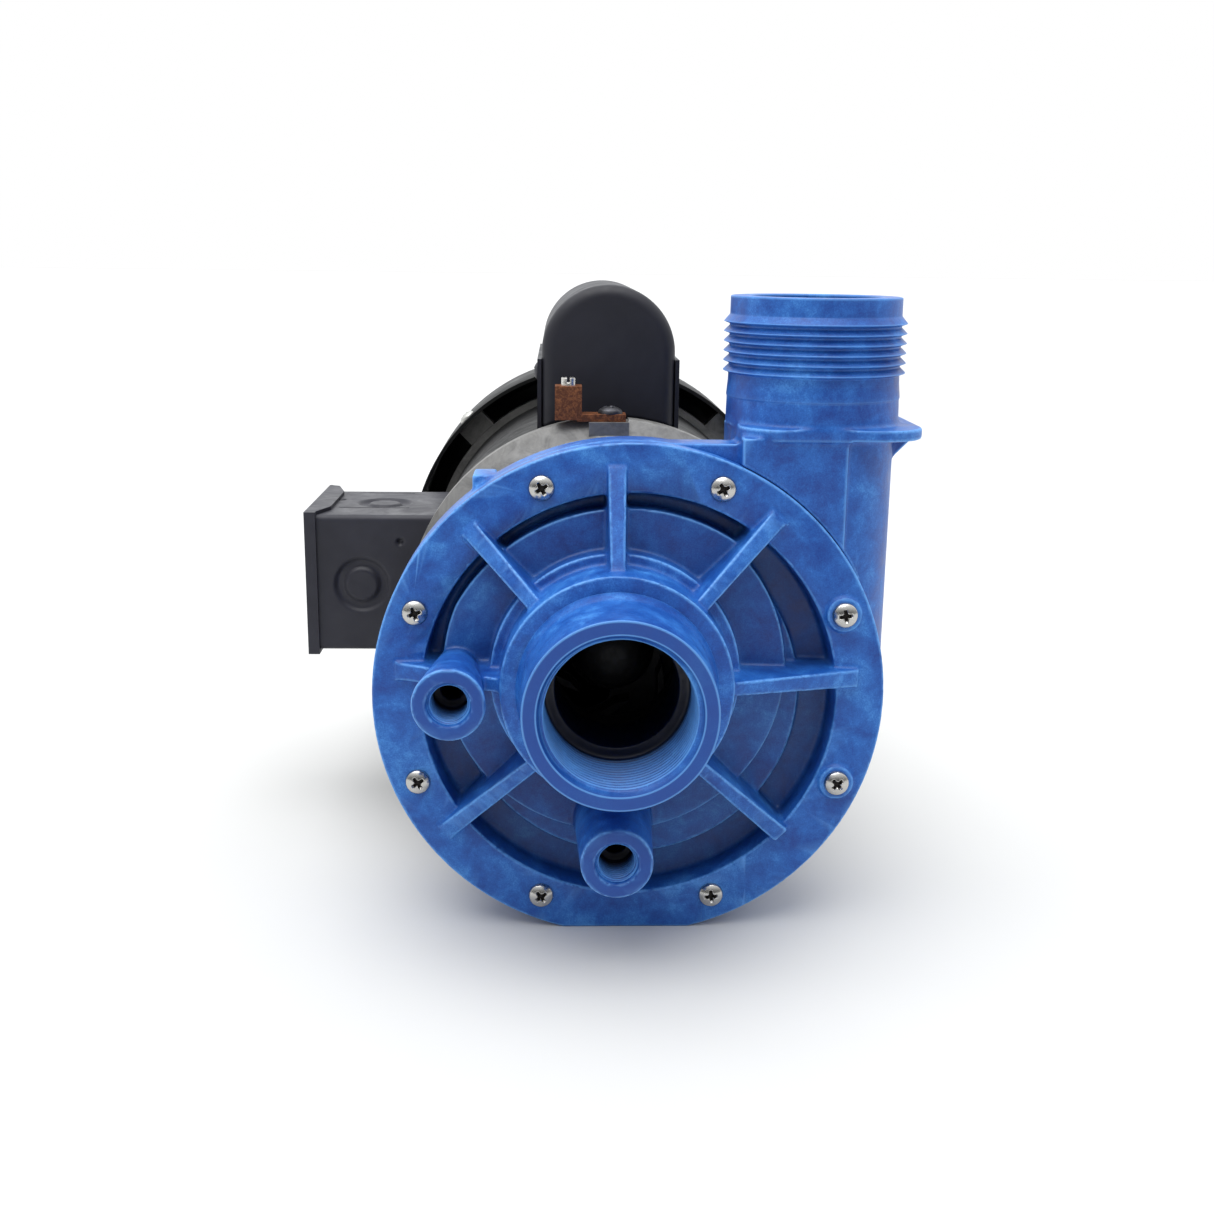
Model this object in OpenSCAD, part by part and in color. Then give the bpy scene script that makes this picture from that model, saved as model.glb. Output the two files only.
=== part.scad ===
// Close-coupled pool and spa pump: a moulded plastic wet end with a threaded suction nose
// and a threaded discharge neck, driven by a fan-cooled single-phase motor on a foot.
// Millimetres. The origin is the centre of the foot's bolt pattern on the floor plane,
// +Z is up, the suction nose points along -Y and the discharge neck stands at +X.

/* [Placing] */
// Height of the shaft above the floor
shaft_h = 91; // [90.5:0.1:91.5]
// Distance from the front of the face plate back to the middle of the foot's bolt pattern
foot_back = 135; // [132:0.5:138]

/* [Face plate] */
// Radius of the round flange of the wet end
flange_r = 84.2; // [84:0.1:84.6]
// Sideways offset of the flange from the shaft
flange_x = 4.9; // [4.5:0.1:5.2]
// Offset of the flange below the shaft
flange_drop = 9.5; // [9.2:0.1:9.8]
// Thickness of the face plate's flange
flange_t = 7; // [6.5:0.1:7.4]
// Radius of the recess inside the flange
recess_r = 68.4; // [68:0.1:68.8]
// Radius of the raised disc around the suction nose
disc_r = 56; // [55:0.1:56.5]
// Width of the stiffening ribs along their front edges
rib_w = 4.2; // [3.5:0.1:5]
// Radius of the circle of face screws
screw_circle_r = 75.4; // [75.2:0.1:75.6]
// Number of face screws
screw_count = 8; // [8]

/* [Suction nose] */
// Length of the nose in front of the flange
nose_len = 49.4; // [48:0.1:51]
// Radius of the tapered outside thread at the nose's open end
nose_r = 29.5; // [29.3:0.1:29.7]
// Radius of the collar behind the outside thread
collar_r = 36.8; // [36:0.1:37.5]
// Distance of the collar's face in front of the flange
collar_front = 23.4; // [22.5:0.1:24.5]
// Radius of the inside thread of the suction port
suction_r = 23.5; // [23:0.1:24]
// Radius of the passage behind the inside thread
eye_r = 19.5; // [18:0.1:20]
// Distance of the two gauge ports from the shaft
port_off = 51.5; // [51:0.1:52]
// Distance of the gauge ports' faces in front of the flange
port_front = 37.8; // [36:0.1:39]
// Outside radius of a gauge port
port_r = 11.4; // [11:0.1:12]
// Radius of the thread of a gauge port
port_hole_r = 5.6; // [5.4:0.1:5.8]

/* [Discharge neck] */
// Sideways distance of the neck from the shaft
neck_x = 66.05; // [65.5:0.05:66.5]
// Distance of the neck's axis behind the front of the flange
neck_y = 29.8; // [29.5:0.1:30.2]
// Height of the neck's open end above the shaft
neck_top = 119.8; // [118:0.1:121]
// Outside radius of the plain lead-in at the open end
neck_r = 28.15; // [28:0.05:28.3]
// Radius over the crests of the buttress thread
thread_r = 30.15; // [29.8:0.05:30.3]
// Distance from one thread crest to the next
thread_pitch = 3.175; // [3.1:0.025:3.25]
// Number of thread crests
thread_crests = 6; // [4:1:6]
// Radius of the passage up the neck
discharge_r = 21.5; // [21:0.1:22.5]

/* [Motor] */
// Outside radius of the motor's steel shell
shell_r = 71.5; // [71.3:0.1:71.6]
// Outside radius of the cast rings at both ends of the shell
bracket_r = 74.8; // [74.4:0.1:75.2]
// Outside radius of the fan cover
fan_cover_r = 84.4; // [84:0.1:84.8]
// Length of the fan cover
fan_cover_len = 57; // [56:0.5:60]
// Width of the capacitor cover
cap_w = 50; // [48:0.5:50]
// Height of the capacitor cover's top above the shaft
cap_top = 121.3; // [120.5:0.1:122]
// Distance of the conduit box's outer side from the shaft
box_out = 115.2; // [112:0.1:118]
// Bore radius of both ball bearings
bearing_bore_r = 8.5; // [8.4:0.1:8.6]
// Outside radius of both ball bearings
bearing_out_r = 20; // [19.8:0.1:20.2]

/* [Foot] */
// Distance between the foot's slots across the motor
foot_span_x = 123.8; // [120:0.1:127]
// Distance between the foot's slots along the motor
foot_span_y = 76.2; // [74:0.1:78]
// Half the width of a slot
foot_slot_r = 4.35; // [4.2:0.05:4.5]
// Length of a slot from end to end
foot_slot_len = 14; // [10:0.5:15]

/* [Hidden] */
$fn = 96;
eps = 0.02;

// Wet end, measured along the shaft from the front of the flange
recess_floor = 10;
side_port_back_r = 6.2;
plate_back = 17;
spigot_r = 72.4;
spigot_clear = 0.2;
disc_front = 0.5;
land_x = 3.4;
land_r = 63.2;
tier_front = 6;
tier_r = 56.6;
hub_r = 40.4;
hub_front = -6.4;
pocket_r = 49.5;
rib_root_y = -20.5;
rib_root_r = 30;
rib_flare = 1.3;
rib_angles = [0, 45.5, 91.5, 135, 225, 270, 315];
volute_flange_back = 19;
volute_r = 77;
volute_bore_r = 72;
volute_back = 51;
volute_wall = 5;
seal_boss_r = 22;
seal_boss_back = 58;
seal_bore_r = 17.5;
flat_z = -shaft_h;
web_top = 73.7;
screw_pilot_r = 1.95;
volute_bolt_circle = 45;
thread_start = 8.4;
neck_base_r = 27.3;
neck_pipe_r = 28.75;
ledge_z = [75.3, 79];

// Screws as [head radius, head height, shank radius]
face_screw = [3.95, 2.4, 1.93];
fan_cover_screw = [3.8, 2.2, 1.88];
cap_screw = [3.6, 2.1, 2];
lid_screw = [3.4, 2, 1.58];
lug_hold_screw = [4.45, 2.8, 2];

// Motor, measured along the shaft from the front of the flange
bracket_front = 62.8;
shell_y = [75, 197];
core_y = [116, 174];
winding_y = [99, 190];
front_bearing_y = 66;
rear_bearing_y = 198;
bearing_w = 12;
ball_circle_r = 14.25;
ball_r = 3.4;
ball_count = 8;
rotor_r = 43.6;
stator_bore_r = 44;
cage_bars = 28;
slots = 24;
journal_r = 10;
seal_journal_r = 7.94;
fan_seat_r = 6;
through_bolt_circle = 66;
through_bolt_seat = 209.5;
fan_screw_y = 202.5;
running_gap = 0.05;
spigot_out = shell_r - 2.05;
fan_lip_y = 190.4;
fan_back = fan_lip_y + fan_cover_len;
cover_t = 1.5;
cap_y = [90, 186];
cap_r = cap_w / 2;
cap_centre = cap_top - cap_r;
box_y = [100, 160];
box_z = [-20.8, 33];
lid_t = 1.4;
lid_fold = 3;
sheet_t = 1.5;
lug_seat_z = 73.95;
lug_t = 2.65;
lead_y = 109.6;
lead_hole_r = 5.5;
cap_lead_y = 181;
saddle_x = cap_r + 1.6;
cap_screw_y = 138;
cap_screw_z = 86;
stud_y = [124, 134, 144];
stud_z = [-7, 9];
box_screw_z = [box_z[0] + 3.5, box_z[1] - 3.5];
foot_half = [74, 46.5];
foot_corner = 8;
foot_t = 4;
governor_y = 180;
governor_pivot = 25;

// Colours
blue = [0.17, 0.38, 0.68];
black_steel = [0.15, 0.15, 0.17];
black_paint = [0.05, 0.05, 0.06];
cast_alu = [0.66, 0.65, 0.62];
stainless = [0.78, 0.78, 0.76];
copper = [0.60, 0.32, 0.16];
rubber = [0.06, 0.06, 0.06];

// Moves what is drawn about the shaft axis to its place over the foot
module at_shaft() {
    translate([0, -foot_back, shaft_h]) children();
}

// Moves what is drawn about the shaft axis onto the flange's own axis
module at_flange() {
    translate([flange_x, 0, -flange_drop]) children();
}

// Cylinder along Y from y0 to y1
module ycyl(r, y0, y1, r2 = undef) {
    translate([0, y0, 0]) rotate([-90, 0, 0])
        cylinder(r1 = r, r2 = r2 == undef ? r : r2, h = y1 - y0);
}

// Ring along Y
module yring(r_out, r_in, y0, y1) {
    difference() {
        ycyl(r_out, y0, y1);
        ycyl(r_in, y0 - 1, y1 + 1);
    }
}

// Body of revolution about Y from [radius, y] points
module yturn(points) {
    rotate([-90, 0, 0]) rotate_extrude() polygon(points);
}

// Round wire ring about Y
module yloop(ring_r, wire_r, y) {
    translate([0, y, 0]) rotate([-90, 0, 0]) rotate_extrude() translate([ring_r, 0]) circle(r = wire_r);
}

// Outline in X and Z drawn out along Y from y0 to y1
module yslab(y0, y1) {
    translate([0, y1, 0]) rotate([90, 0, 0]) linear_extrude(height = y1 - y0) children();
}

// Box between two corners
module block(low, high) {
    translate(low) cube(high - low);
}

// Copies turned about the shaft axis
module around(count, start = 0) {
    for (i = [0 : count - 1]) rotate([0, start + i * 360 / count, 0]) children();
}

// Wire coil about Y: a round wire drawn with eight sides and swept along a helix
module coil(mean_r, wire_r, y0, y1, turns) {
    sides = 8;
    steps = 14 * turns;
    points = [for (i = [0 : steps]) for (k = [0 : sides - 1])
        let (a = 360 * turns * i / steps, b = 360 * k / sides, r = mean_r + wire_r * cos(b))
        [r * cos(a), y0 + (y1 - y0) * i / steps + wire_r * sin(b), r * sin(a)]];
    rings = [for (i = [0 : steps - 1]) for (k = [0 : sides - 1])
        let (a = i * sides + k, b = i * sides + (k + 1) % sides) [a, b, b + sides, a + sides]];
    polyhedron(points, concat(rings,
        [[for (k = [sides - 1 : -1 : 0]) k]],
        [[for (k = [0 : sides - 1]) steps * sides + k]]));
}

// ---- Wet end ----

// Turns a screw's place on the flange circle into a position about the shaft
module at_face_screws() {
    at_flange() around(screw_count, 22.5) translate([0, 0, screw_circle_r]) children();
}

// Distance from the shaft, in a rib's direction, to where its tip meets the flange
function rib_tip(angle) =
    let (along = flange_x * sin(angle) - flange_drop * cos(angle),
         reach = 77.5, off2 = flange_x * flange_x + flange_drop * flange_drop)
    along + sqrt(along * along - off2 + reach * reach);

// Cross-section of a rib, wider at its root, drawn out upwards from the collar
module rib_bar() {
    front = rib_root_y - 1;
    root = recess_floor + 0.5;
    half = rib_w / 2;
    translate([0, 0, rib_root_r]) linear_extrude(height = 50)
        polygon([[-half, front], [half, front], [half + rib_flare, root], [-half - rib_flare, root]]);
}

// One rib: deep at the collar, sloping down to the flange, and filled in down to the recess floor
module rib(angle) {
    tip = rib_tip(angle);
    rotate([0, angle, 0]) intersection() {
        rib_bar();
        translate([-rib_w, 0, 0]) rotate([90, 0, 90]) linear_extrude(height = 2 * rib_w)
            polygon([[rib_root_y, rib_root_r], [-0.8, tip - 0.6], [3, tip], [3, rib_root_r]]);
    }
    intersection() {
        rotate([0, angle, 0]) rib_bar();
        at_flange() ycyl(recess_r + 0.3, 0.2, recess_floor + 1);
    }
}

// One gauge port boss, drawn about its own axis; it tapers to back_r at the recess floor
module port_boss(back_r) {
    ycyl(port_r, -port_front, recess_floor + 0.5, back_r);
}

// Inside of a gauge port, drawn about its own axis
module port_hole() {
    ycyl(port_hole_r, -port_front - 1, -port_front + 17);
    ycyl(6.9, -port_front - 1, -port_front + 1.2);
    ycyl(3.4, -port_front + 16, plate_back + 4);
}

// Disc round the nose; it is cut back at the top and reaches further out at the upper right
module raised_disc() {
    intersection() {
        translate([land_x, 0, -flange_drop]) ycyl(land_r, disc_front, plate_back - 0.5);
        union() {
            ycyl(disc_r, disc_front, plate_back - 0.5);
            yslab(disc_front, plate_back - 0.5) polygon([[0, 0], [0, 75], [53, 53]]);
        }
    }
}

module face_plate_solid() {
    difference() {
        at_flange() union() {
            ycyl(flange_r, 0, flange_t);
            ycyl(spigot_r, flange_t - eps, plate_back);
        }
        at_flange() ycyl(recess_r, -1, recess_floor, recess_r - 1);
    }
    at_flange() ycyl(tier_r, tier_front, recess_floor + 1);
    raised_disc();
    ycyl(hub_r, hub_front, 2);
    ycyl(collar_r, -collar_front, 2);
    yturn([[0, -nose_len], [nose_r, -nose_len], [nose_r + 0.7, -collar_front - 3.5],
           [nose_r + 2.4, -collar_front], [nose_r + 2.4, 0], [0, 0]]);
    translate([-port_off, 0, 0]) port_boss(side_port_back_r);
    translate([0, 0, -port_off]) port_boss(port_r + 2);
    for (angle = rib_angles) rib(angle);
    // Short rib from the collar down into the lower gauge port
    translate([-rib_w / 2, 0, 0]) rotate([90, 0, 90]) linear_extrude(height = rib_w)
        polygon([[rib_root_y, -rib_root_r], [-12, -port_off], [3, -port_off], [3, -rib_root_r]]);
    for (a = [67.5, 112.5]) at_flange() rotate([0, a, 0]) translate([0, 0, screw_circle_r])
        ycyl(5.65, -1.5, 1);
}

module face_plate() color(blue) at_shaft() difference() {
    face_plate_solid();
    block([-100, -60, flat_z - 20], [100, 60, flat_z]);
    // Suction passage with its inside thread, mouth chamfer and shoulder
    ycyl(suction_r, -nose_len - 1, -20);
    ycyl(suction_r + 1.4, -nose_len - 0.2, -nose_len + 1.4, suction_r - 0.2);
    ycyl(eye_r, -21, 20);
    // Pocket behind the disc for the impeller's front shroud, round the wear ring's boss
    difference() {
        ycyl(pocket_r, 4, plate_back + 4);
        ycyl(29, 0, 11);
    }
    ycyl(26, 4.5, plate_back + 4);
    translate([-port_off, 0, 0]) port_hole();
    translate([0, 0, -port_off]) port_hole();
    // Clearance holes for the face screws and the groove for the O-ring
    at_face_screws() ycyl(2.3, -4, flange_t + 2);
    at_flange() yring(spigot_r + 2, 69.7, 10, 13.2);
}

module face_o_ring() color(rubber) at_shaft() at_flange() yloop(71.1, 1.35, 11.6);

// Pan-head screw with a cross recess, its head seated at y = 0 and its shank along +Y
module pan_screw(size, shank_len) {
    head_r = size[0];
    head_h = size[1];
    shank_r = size[2];
    difference() {
        union() {
            intersection() {
                ycyl(head_r, -head_h, 0);
                translate([0, -head_h + head_r * 1.5, 0]) sphere(r = head_r * 1.5);
            }
            ycyl(shank_r, -eps, shank_len);
        }
        for (a = [20, 110]) rotate([0, a, 0])
            block([-head_r * 0.13, -head_h - 1, -head_r * 0.55],
                  [head_r * 0.13, -head_h * 0.35, head_r * 0.55]);
    }
}

module face_screws() color(stainless) at_shaft() at_flange() {
    for (i = [0 : screw_count - 1]) {
        angle = 22.5 + i * 45;
        raised = angle == 67.5 || angle == 112.5;
        rotate([0, angle, 0]) translate([0, raised ? -1.5 : 0, screw_circle_r])
            pan_screw(face_screw, raised ? 16 : 14.5);
    }
}

// Outline of the volute's front flange: the round flange and a web running level to the neck
module volute_flange_outline() {
    translate([flange_x, -flange_drop]) circle(r = flange_r);
    translate([flange_x, 20]) square([40 - flange_x, web_top - 20]);
}

module neck_ledge() {
    low = [39.6, 0.8];
    high = [99.6, 58.8];
    corner = 14;
    translate([0, 0, ledge_z[0]]) linear_extrude(height = ledge_z[1] - ledge_z[0]) union() {
        translate([low[0] + corner, low[1]]) square([high[0] - low[0] - 2 * corner, high[1] - low[1]]);
        translate([low[0], low[1] + corner]) square([high[0] - low[0], high[1] - low[1] - 2 * corner]);
        for (x = [low[0] + corner, high[0] - corner]) for (y = [low[1] + corner, high[1] - corner])
            translate([x, y]) circle(r = corner);
    }
}

// Buttress thread drawn as rings: a long ramp on the open side and a short face below
module neck_thread() {
    first = neck_top - thread_start;
    root = neck_r - 0.1;
    ramp = thread_pitch * 0.6;
    under = thread_pitch * 0.23;
    for (i = [0 : thread_crests - 1]) translate([neck_x, neck_y, first - i * thread_pitch])
        rotate_extrude() polygon([[discharge_r + 2, -under], [root, -under], [thread_r, 0],
                                  [root, ramp], [discharge_r + 2, ramp]]);
}

module volute_outside() {
    yslab(flange_t, volute_flange_back) volute_flange_outline();
    at_flange() {
        ycyl(volute_r, volute_flange_back - 1, 46);
        ycyl(volute_r, 46 - eps, volute_back, volute_r - 6);
    }
    ycyl(seal_boss_r, 44, seal_boss_back);
    // Small ear on the upper left of the casing
    block([-46.5, 12, 50], [-39, 27, 62.3]);
    // Neck from the scroll's end up to the open end
    difference() {
        union() {
            translate([neck_x, neck_y, 2]) sphere(r = neck_base_r);
            translate([neck_x, neck_y, 2]) cylinder(r = neck_base_r, h = 76);
            block([40, 2.1, 20], [73.8, 57.5, 76]);
            neck_ledge();
        }
        at_flange() ycyl(flange_r + 0.2, -30, flange_t + eps);
        ycyl(66.5, volute_back, 80);
    }
    // Wedge under the ledge on the outer side
    yslab(neck_y - 4, neck_y + 4)
        polygon([[80, 77], [99.4, 75.6], [99.4, 73.2], [92.2, 66], [80, 66]]);
    translate([neck_x, neck_y, 78]) cylinder(r = neck_pipe_r, h = neck_top - 78 - 25);
    translate([neck_x, neck_y, 90]) cylinder(r = neck_r, h = neck_top - 90);
    neck_thread();
}

module volute_casing() color(blue) at_shaft() difference() {
    volute_outside();
    block([-100, 0, flat_z - 20], [100, 70, flat_z]);
    // Opening for the face plate's spigot, then the chamber
    at_flange() ycyl(spigot_r + spigot_clear, 0, plate_back + 0.3);
    difference() {
        at_flange() ycyl(volute_bore_r, plate_back, volute_back - volute_wall);
        ycyl(seal_boss_r, 44, 60);
    }
    // Passage from the chamber up through the neck
    translate([neck_x, neck_y, 50]) cylinder(r = discharge_r, h = 90);
    block([52, 17, 0], [85.5, 46, 62]);
    // Shaft hole and the seal seat's pocket
    ycyl(10.5, 40, 70);
    ycyl(seal_bore_r, 40, 55.6);
    at_face_screws() ycyl(screw_pilot_r, 0, 15.6);
    around(4, 45) translate([0, 0, volute_bolt_circle]) ycyl(3.1, 40, 60);
}

module wear_ring() color(stainless) at_shaft() yring(26, 23.6, 4.5, 11);

// One swept-back vane standing between the shrouds
module vane() {
    intersection() {
        yslab(19, 28.2) difference() {
            translate([18, 12]) circle(r = 36);
            translate([18, 12]) circle(r = 33.6);
        }
        yslab(19, 28.2) difference() {
            circle(r = 47.5);
            circle(r = 17);
            translate([-70, -80]) square([140, 80]);
        }
    }
}

// Rear shroud with six vanes and a closed hub nose over the insert
module impeller() color([0.12, 0.12, 0.13]) at_shaft() difference() {
    union() {
        ycyl(48, 28, 31);
        yturn([[0, 12], [5, 12.5], [8.5, 14.2], [11, 17], [12.5, 21], [15, 30], [15, 34], [0, 34]]);
        around(6) vane();
    }
    ycyl(9.5, 19, 33);
    ycyl(6.2, 32, 40);
}

module impeller_shroud() color([0.16, 0.16, 0.17]) at_shaft() {
    yturn([[20.2, 5], [23.2, 5], [23.2, 14.5], [26, 16.4], [48, 16.4], [48, 18.95], [23, 18.95], [20.2, 16]]);
}

module impeller_insert() color([0.72, 0.55, 0.25]) at_shaft() yring(9.5, 6, 19.5, 32.9);

module seal_seat() color([0.92, 0.90, 0.85]) at_shaft() yring(14.9, 10.5, 48, 54);

module seal_seat_cup() color(rubber) at_shaft() difference() {
    ycyl(seal_bore_r - 0.02, 48.6, 55.5);
    ycyl(14.92, 48, 54.02);
    ycyl(10.5, 47, 57);
}

module seal_face_ring() color([0.20, 0.20, 0.21]) at_shaft() yring(13.2, 9.4, 45.2, 48 - running_gap);

module seal_bellows() color(rubber) at_shaft() {
    yturn([[seal_journal_r, 34.05], [12.4, 34.05], [12.4, 36], [10.6, 37.5], [10.6, 42],
           [12.6, 43.5], [12.6, 45.1], [seal_journal_r, 45.1]]);
}

module seal_spring() color(stainless) at_shaft() coil(13.9, 0.8, 35.2, 44.2, 4);

// Hex-head bolt seated at y = 0 with its shank along +Y
module hex_bolt(across, head_h, shank_r, shank_len) {
    translate([0, -head_h, 0]) rotate([-90, 0, 0]) cylinder(r = across / 2 / cos(30), h = head_h, $fn = 6);
    ycyl(shank_r, -eps, shank_len);
}

module volute_bolts() color(stainless) at_shaft() around(4, 45) translate([0, 46, volute_bolt_circle])
    hex_bolt(10, 4, 3, 16);

module shaft_slinger() color(rubber) at_shaft() {
    yturn([[7.95, 58.6], [10, 58.6], [10, 59.6], [16.5, 59.6], [17, 60.3], [17, 61], [7.95, 61]]);
}

// ---- Motor ----

module front_bracket() color(cast_alu) at_shaft() difference() {
    union() {
        yturn([[24, volute_back], [61, volute_back], [64, 58], [bracket_r, bracket_front + 5.2],
               [bracket_r, shell_y[0]], [spigot_out, shell_y[0]],
               [spigot_out, 80], [66, 80], [66, 70], [58, 63], [27, 63], [26, 80],
               [bearing_out_r, 80], [bearing_out_r, 62], [24, 62]]);
        yring(24.2, 9, 62, 66);
        // Flat pad on top for the bonding lug
        block([-7.7, bracket_front, 66], [6.6, 74.5, 73.9]);
        around(4, 45) translate([0, 0, volute_bolt_circle]) ycyl(6.5, 56, 68);
        around(4) translate([0, 0, through_bolt_circle - 1]) ycyl(4.2, 66, 80);
    }
    block([-12, 60, 73.9], [6.6, 80, 80]);
    ycyl(bearing_out_r, front_bearing_y, 90);
    around(4, 45) translate([0, 0, volute_bolt_circle]) ycyl(3, 40, 62.5);
    around(4) translate([0, 0, through_bolt_circle]) ycyl(2.1, 68, 90);
    translate([0, 68.5, 66]) cylinder(r = 2, h = 20);
}

module bonding_lug() color(copper) at_shaft() difference() {
    union() {
        block([-19.9, 64.3, 74.4], [-10.3, 72.7, 86.5]);
        block([-11.9, 64.3, lug_seat_z], [5.5, 72.7, lug_seat_z + lug_t]);
    }
    translate([0, 68.5, 70]) cylinder(r = 2.1, h = 10);
    translate([-15.1, 68.5, 81]) cylinder(r = 2.6, h = 10);
    translate([-25, 68.5, 79.7]) rotate([0, 90, 0]) cylinder(r = 2.4, h = 20);
}

module lug_set_screw() color(stainless) at_shaft() difference() {
    translate([-15.1, 68.5, 82.5]) cylinder(r = 2.58, h = 6.8);
    block([-15.6, 64, 87.6], [-14.6, 74, 90]);
}

module lug_screw() color(black_steel) at_shaft() translate([0, 68.5, lug_seat_z + lug_t])
    rotate([-90, 0, 0]) pan_screw(lug_hold_screw, 7);

module motor_shaft() color([0.70, 0.70, 0.71]) at_shaft() {
    seal_r = seal_journal_r - 0.02;
    yturn([[0, 19.5], [5, 19.5], [5.98, 20.5], [5.98, 33.9], [seal_r, 34], [seal_r, 65.9],
           [bearing_bore_r, 66], [bearing_bore_r, 78], [journal_r, 78], [journal_r, 197.5],
           [bearing_bore_r, 197.5], [bearing_bore_r, 210], [fan_seat_r, 210.5],
           [fan_seat_r, 238], [5, 239], [0, 239]]);
}

module bearing_outer(y) {
    difference() {
        yring(bearing_out_r, 16.4, y, y + bearing_w);
        yloop(ball_circle_r, ball_r + running_gap, y + bearing_w / 2);
    }
}

module bearing_inner(y) {
    difference() {
        yring(12.1, bearing_bore_r, y, y + bearing_w);
        yloop(ball_circle_r, ball_r + running_gap, y + bearing_w / 2);
    }
}

module bearing_balls(y) {
    around(ball_count) translate([0, y + bearing_w / 2, ball_circle_r]) sphere(r = ball_r);
}

module front_bearing_outer() color(stainless) at_shaft() bearing_outer(front_bearing_y);
module front_bearing_inner() color(stainless) at_shaft() bearing_inner(front_bearing_y);
module front_bearing_balls() color(stainless) at_shaft() bearing_balls(front_bearing_y);
module rear_bearing_outer() color(stainless) at_shaft() bearing_outer(rear_bearing_y);
module rear_bearing_inner() color(stainless) at_shaft() bearing_inner(rear_bearing_y);
module rear_bearing_balls() color(stainless) at_shaft() bearing_balls(rear_bearing_y);

module motor_shell() color(black_paint) at_shaft() difference() {
    yring(shell_r, shell_r - 2, shell_y[0], shell_y[1]);
    // Lead holes into the conduit box and up into the capacitor cover
    translate([-80, lead_y, 0]) rotate([0, 90, 0]) cylinder(r = lead_hole_r, h = 20);
    translate([0, cap_lead_y, 60]) cylinder(r = 3.5, h = 20);
}

module stator_core() color([0.42, 0.42, 0.44]) at_shaft() difference() {
    yring(shell_r - 2, stator_bore_r, core_y[0], core_y[1]);
    around(slots) translate([0, 0, 45]) block([-2.6, 90, 0], [2.6, 180, 14]);
    around(slots) block([-1, 90, 40], [1, 180, 47]);
    around(4) translate([0, 0, through_bolt_circle]) ycyl(2.3, 90, 180);
}

module stator_windings() color([0.62, 0.30, 0.12]) at_shaft() {
    yring(60, 46.5, winding_y[0], core_y[0] - 0.3);
    yring(60, 46.5, core_y[1] + 0.3, winding_y[1]);
    around(slots) block([-2.3, core_y[0] - 1, 47], [2.3, core_y[1] + 1, 58.6]);
}

module rotor_core() color([0.45, 0.45, 0.47]) at_shaft() difference() {
    yring(rotor_r, journal_r, core_y[0] + 1, core_y[1] - 1);
    around(cage_bars) translate([0, 0, 38.5]) ycyl(2.2, 90, 180);
}

module rotor_cage() color([0.72, 0.72, 0.73]) at_shaft() {
    yring(43, 33, core_y[0] - 5, core_y[0] + 1);
    yring(43, 33, core_y[1] - 1, core_y[1] + 5);
    around(cage_bars) translate([0, 0, 38.5]) ycyl(2.2, core_y[0], core_y[1]);
    around(8) block([-1, core_y[1] + 4, 34], [1, core_y[1] + 9, 42]);
    around(8) block([-1, core_y[0] - 9, 34], [1, core_y[0] - 4, 42]);
}

module rear_bracket() color(cast_alu) at_shaft() difference() {
    union() {
        yturn([[9, 210.6], [9, 214], [30, 214], [50, 210], [66, 208], [74.5, 206], [74.5, shell_y[1]],
               [spigot_out, shell_y[1]], [spigot_out, 192], [66, 192], [66, 202], [58, 204], [25, 206],
               [25, 196], [bearing_out_r, 196], [bearing_out_r, 210.6]]);
        intersection() {
            around(4, 45) block([-7, 199, 72], [7, 206, fan_cover_r]);
            ycyl(fan_cover_r - cover_t - running_gap, 190, 210);
        }
        around(4) translate([0, 0, through_bolt_circle - 1]) ycyl(4.4, 193, through_bolt_seat);
    }
    ycyl(bearing_out_r, 190, 210);
    around(4) translate([0, 0, through_bolt_circle]) ycyl(2.1, 190, 220);
    around(4, 45) translate([0, fan_screw_y, 74]) cylinder(r = 1.9, h = 20);
}

// Springy washer between the rear bearing and its pocket
module wave_washer() color(stainless) at_shaft() yring(19.5, 15.5, 210, 210.58);

module governor_base() color([0.62, 0.62, 0.60]) at_shaft() {
    yring(19, journal_r, 174, 177);
    around(2) difference() {
        for (x = [-11.2, 9.2]) block([x, 174, 14], [x + 2, 184, 29]);
        translate([-20, governor_y, governor_pivot]) rotate([0, 90, 0]) cylinder(r = 1.5, h = 40);
    }
}

module governor_pins() color(stainless) at_shaft() for (s = [1, -1])
    translate([-12, governor_y, s * governor_pivot]) rotate([0, 90, 0]) cylinder(r = 1.48, h = 24);

module governor_collar() color([0.55, 0.20, 0.12]) at_shaft() {
    yring(16.2, journal_r + running_gap, 184, 187);
    yring(13.5, journal_r + running_gap, 180.2, 188.5);
}

// One fly-weight that swings out on its pin
module governor_weight() {
    difference() {
        block([-8.8, 178.4, 22], [8.8, 193, 28.5]);
        translate([-20, governor_y, governor_pivot]) rotate([0, 90, 0]) cylinder(r = 1.55, h = 40);
    }
}

module governor_weight_upper() color([0.62, 0.62, 0.60]) at_shaft() governor_weight();
module governor_weight_lower() color([0.62, 0.62, 0.60]) at_shaft() mirror([0, 0, 1]) governor_weight();

module switch_board() color([0.35, 0.16, 0.09]) at_shaft() difference() {
    intersection() {
        yring(40, 14, 194.2, 195.8);
        block([-50, 190, -50], [50, 200, -8]);
    }
    for (x = [-30, 30]) translate([x, 0, -20]) ycyl(2, 190, 200);
}

module cooling_fan() color(black_paint) at_shaft() {
    yring(14, fan_seat_r, 218, 236);
    yring(40, 13.5, 225, 227.5);
    around(10) block([-1.2, 220, 13], [1.2, 238, 71]);
}

module fan_clip() color(stainless) at_shaft() difference() {
    yring(9.5, fan_seat_r + 0.02, 236.1, 237.3);
    block([-2, 236, -12], [2, 238, 0]);
}

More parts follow.
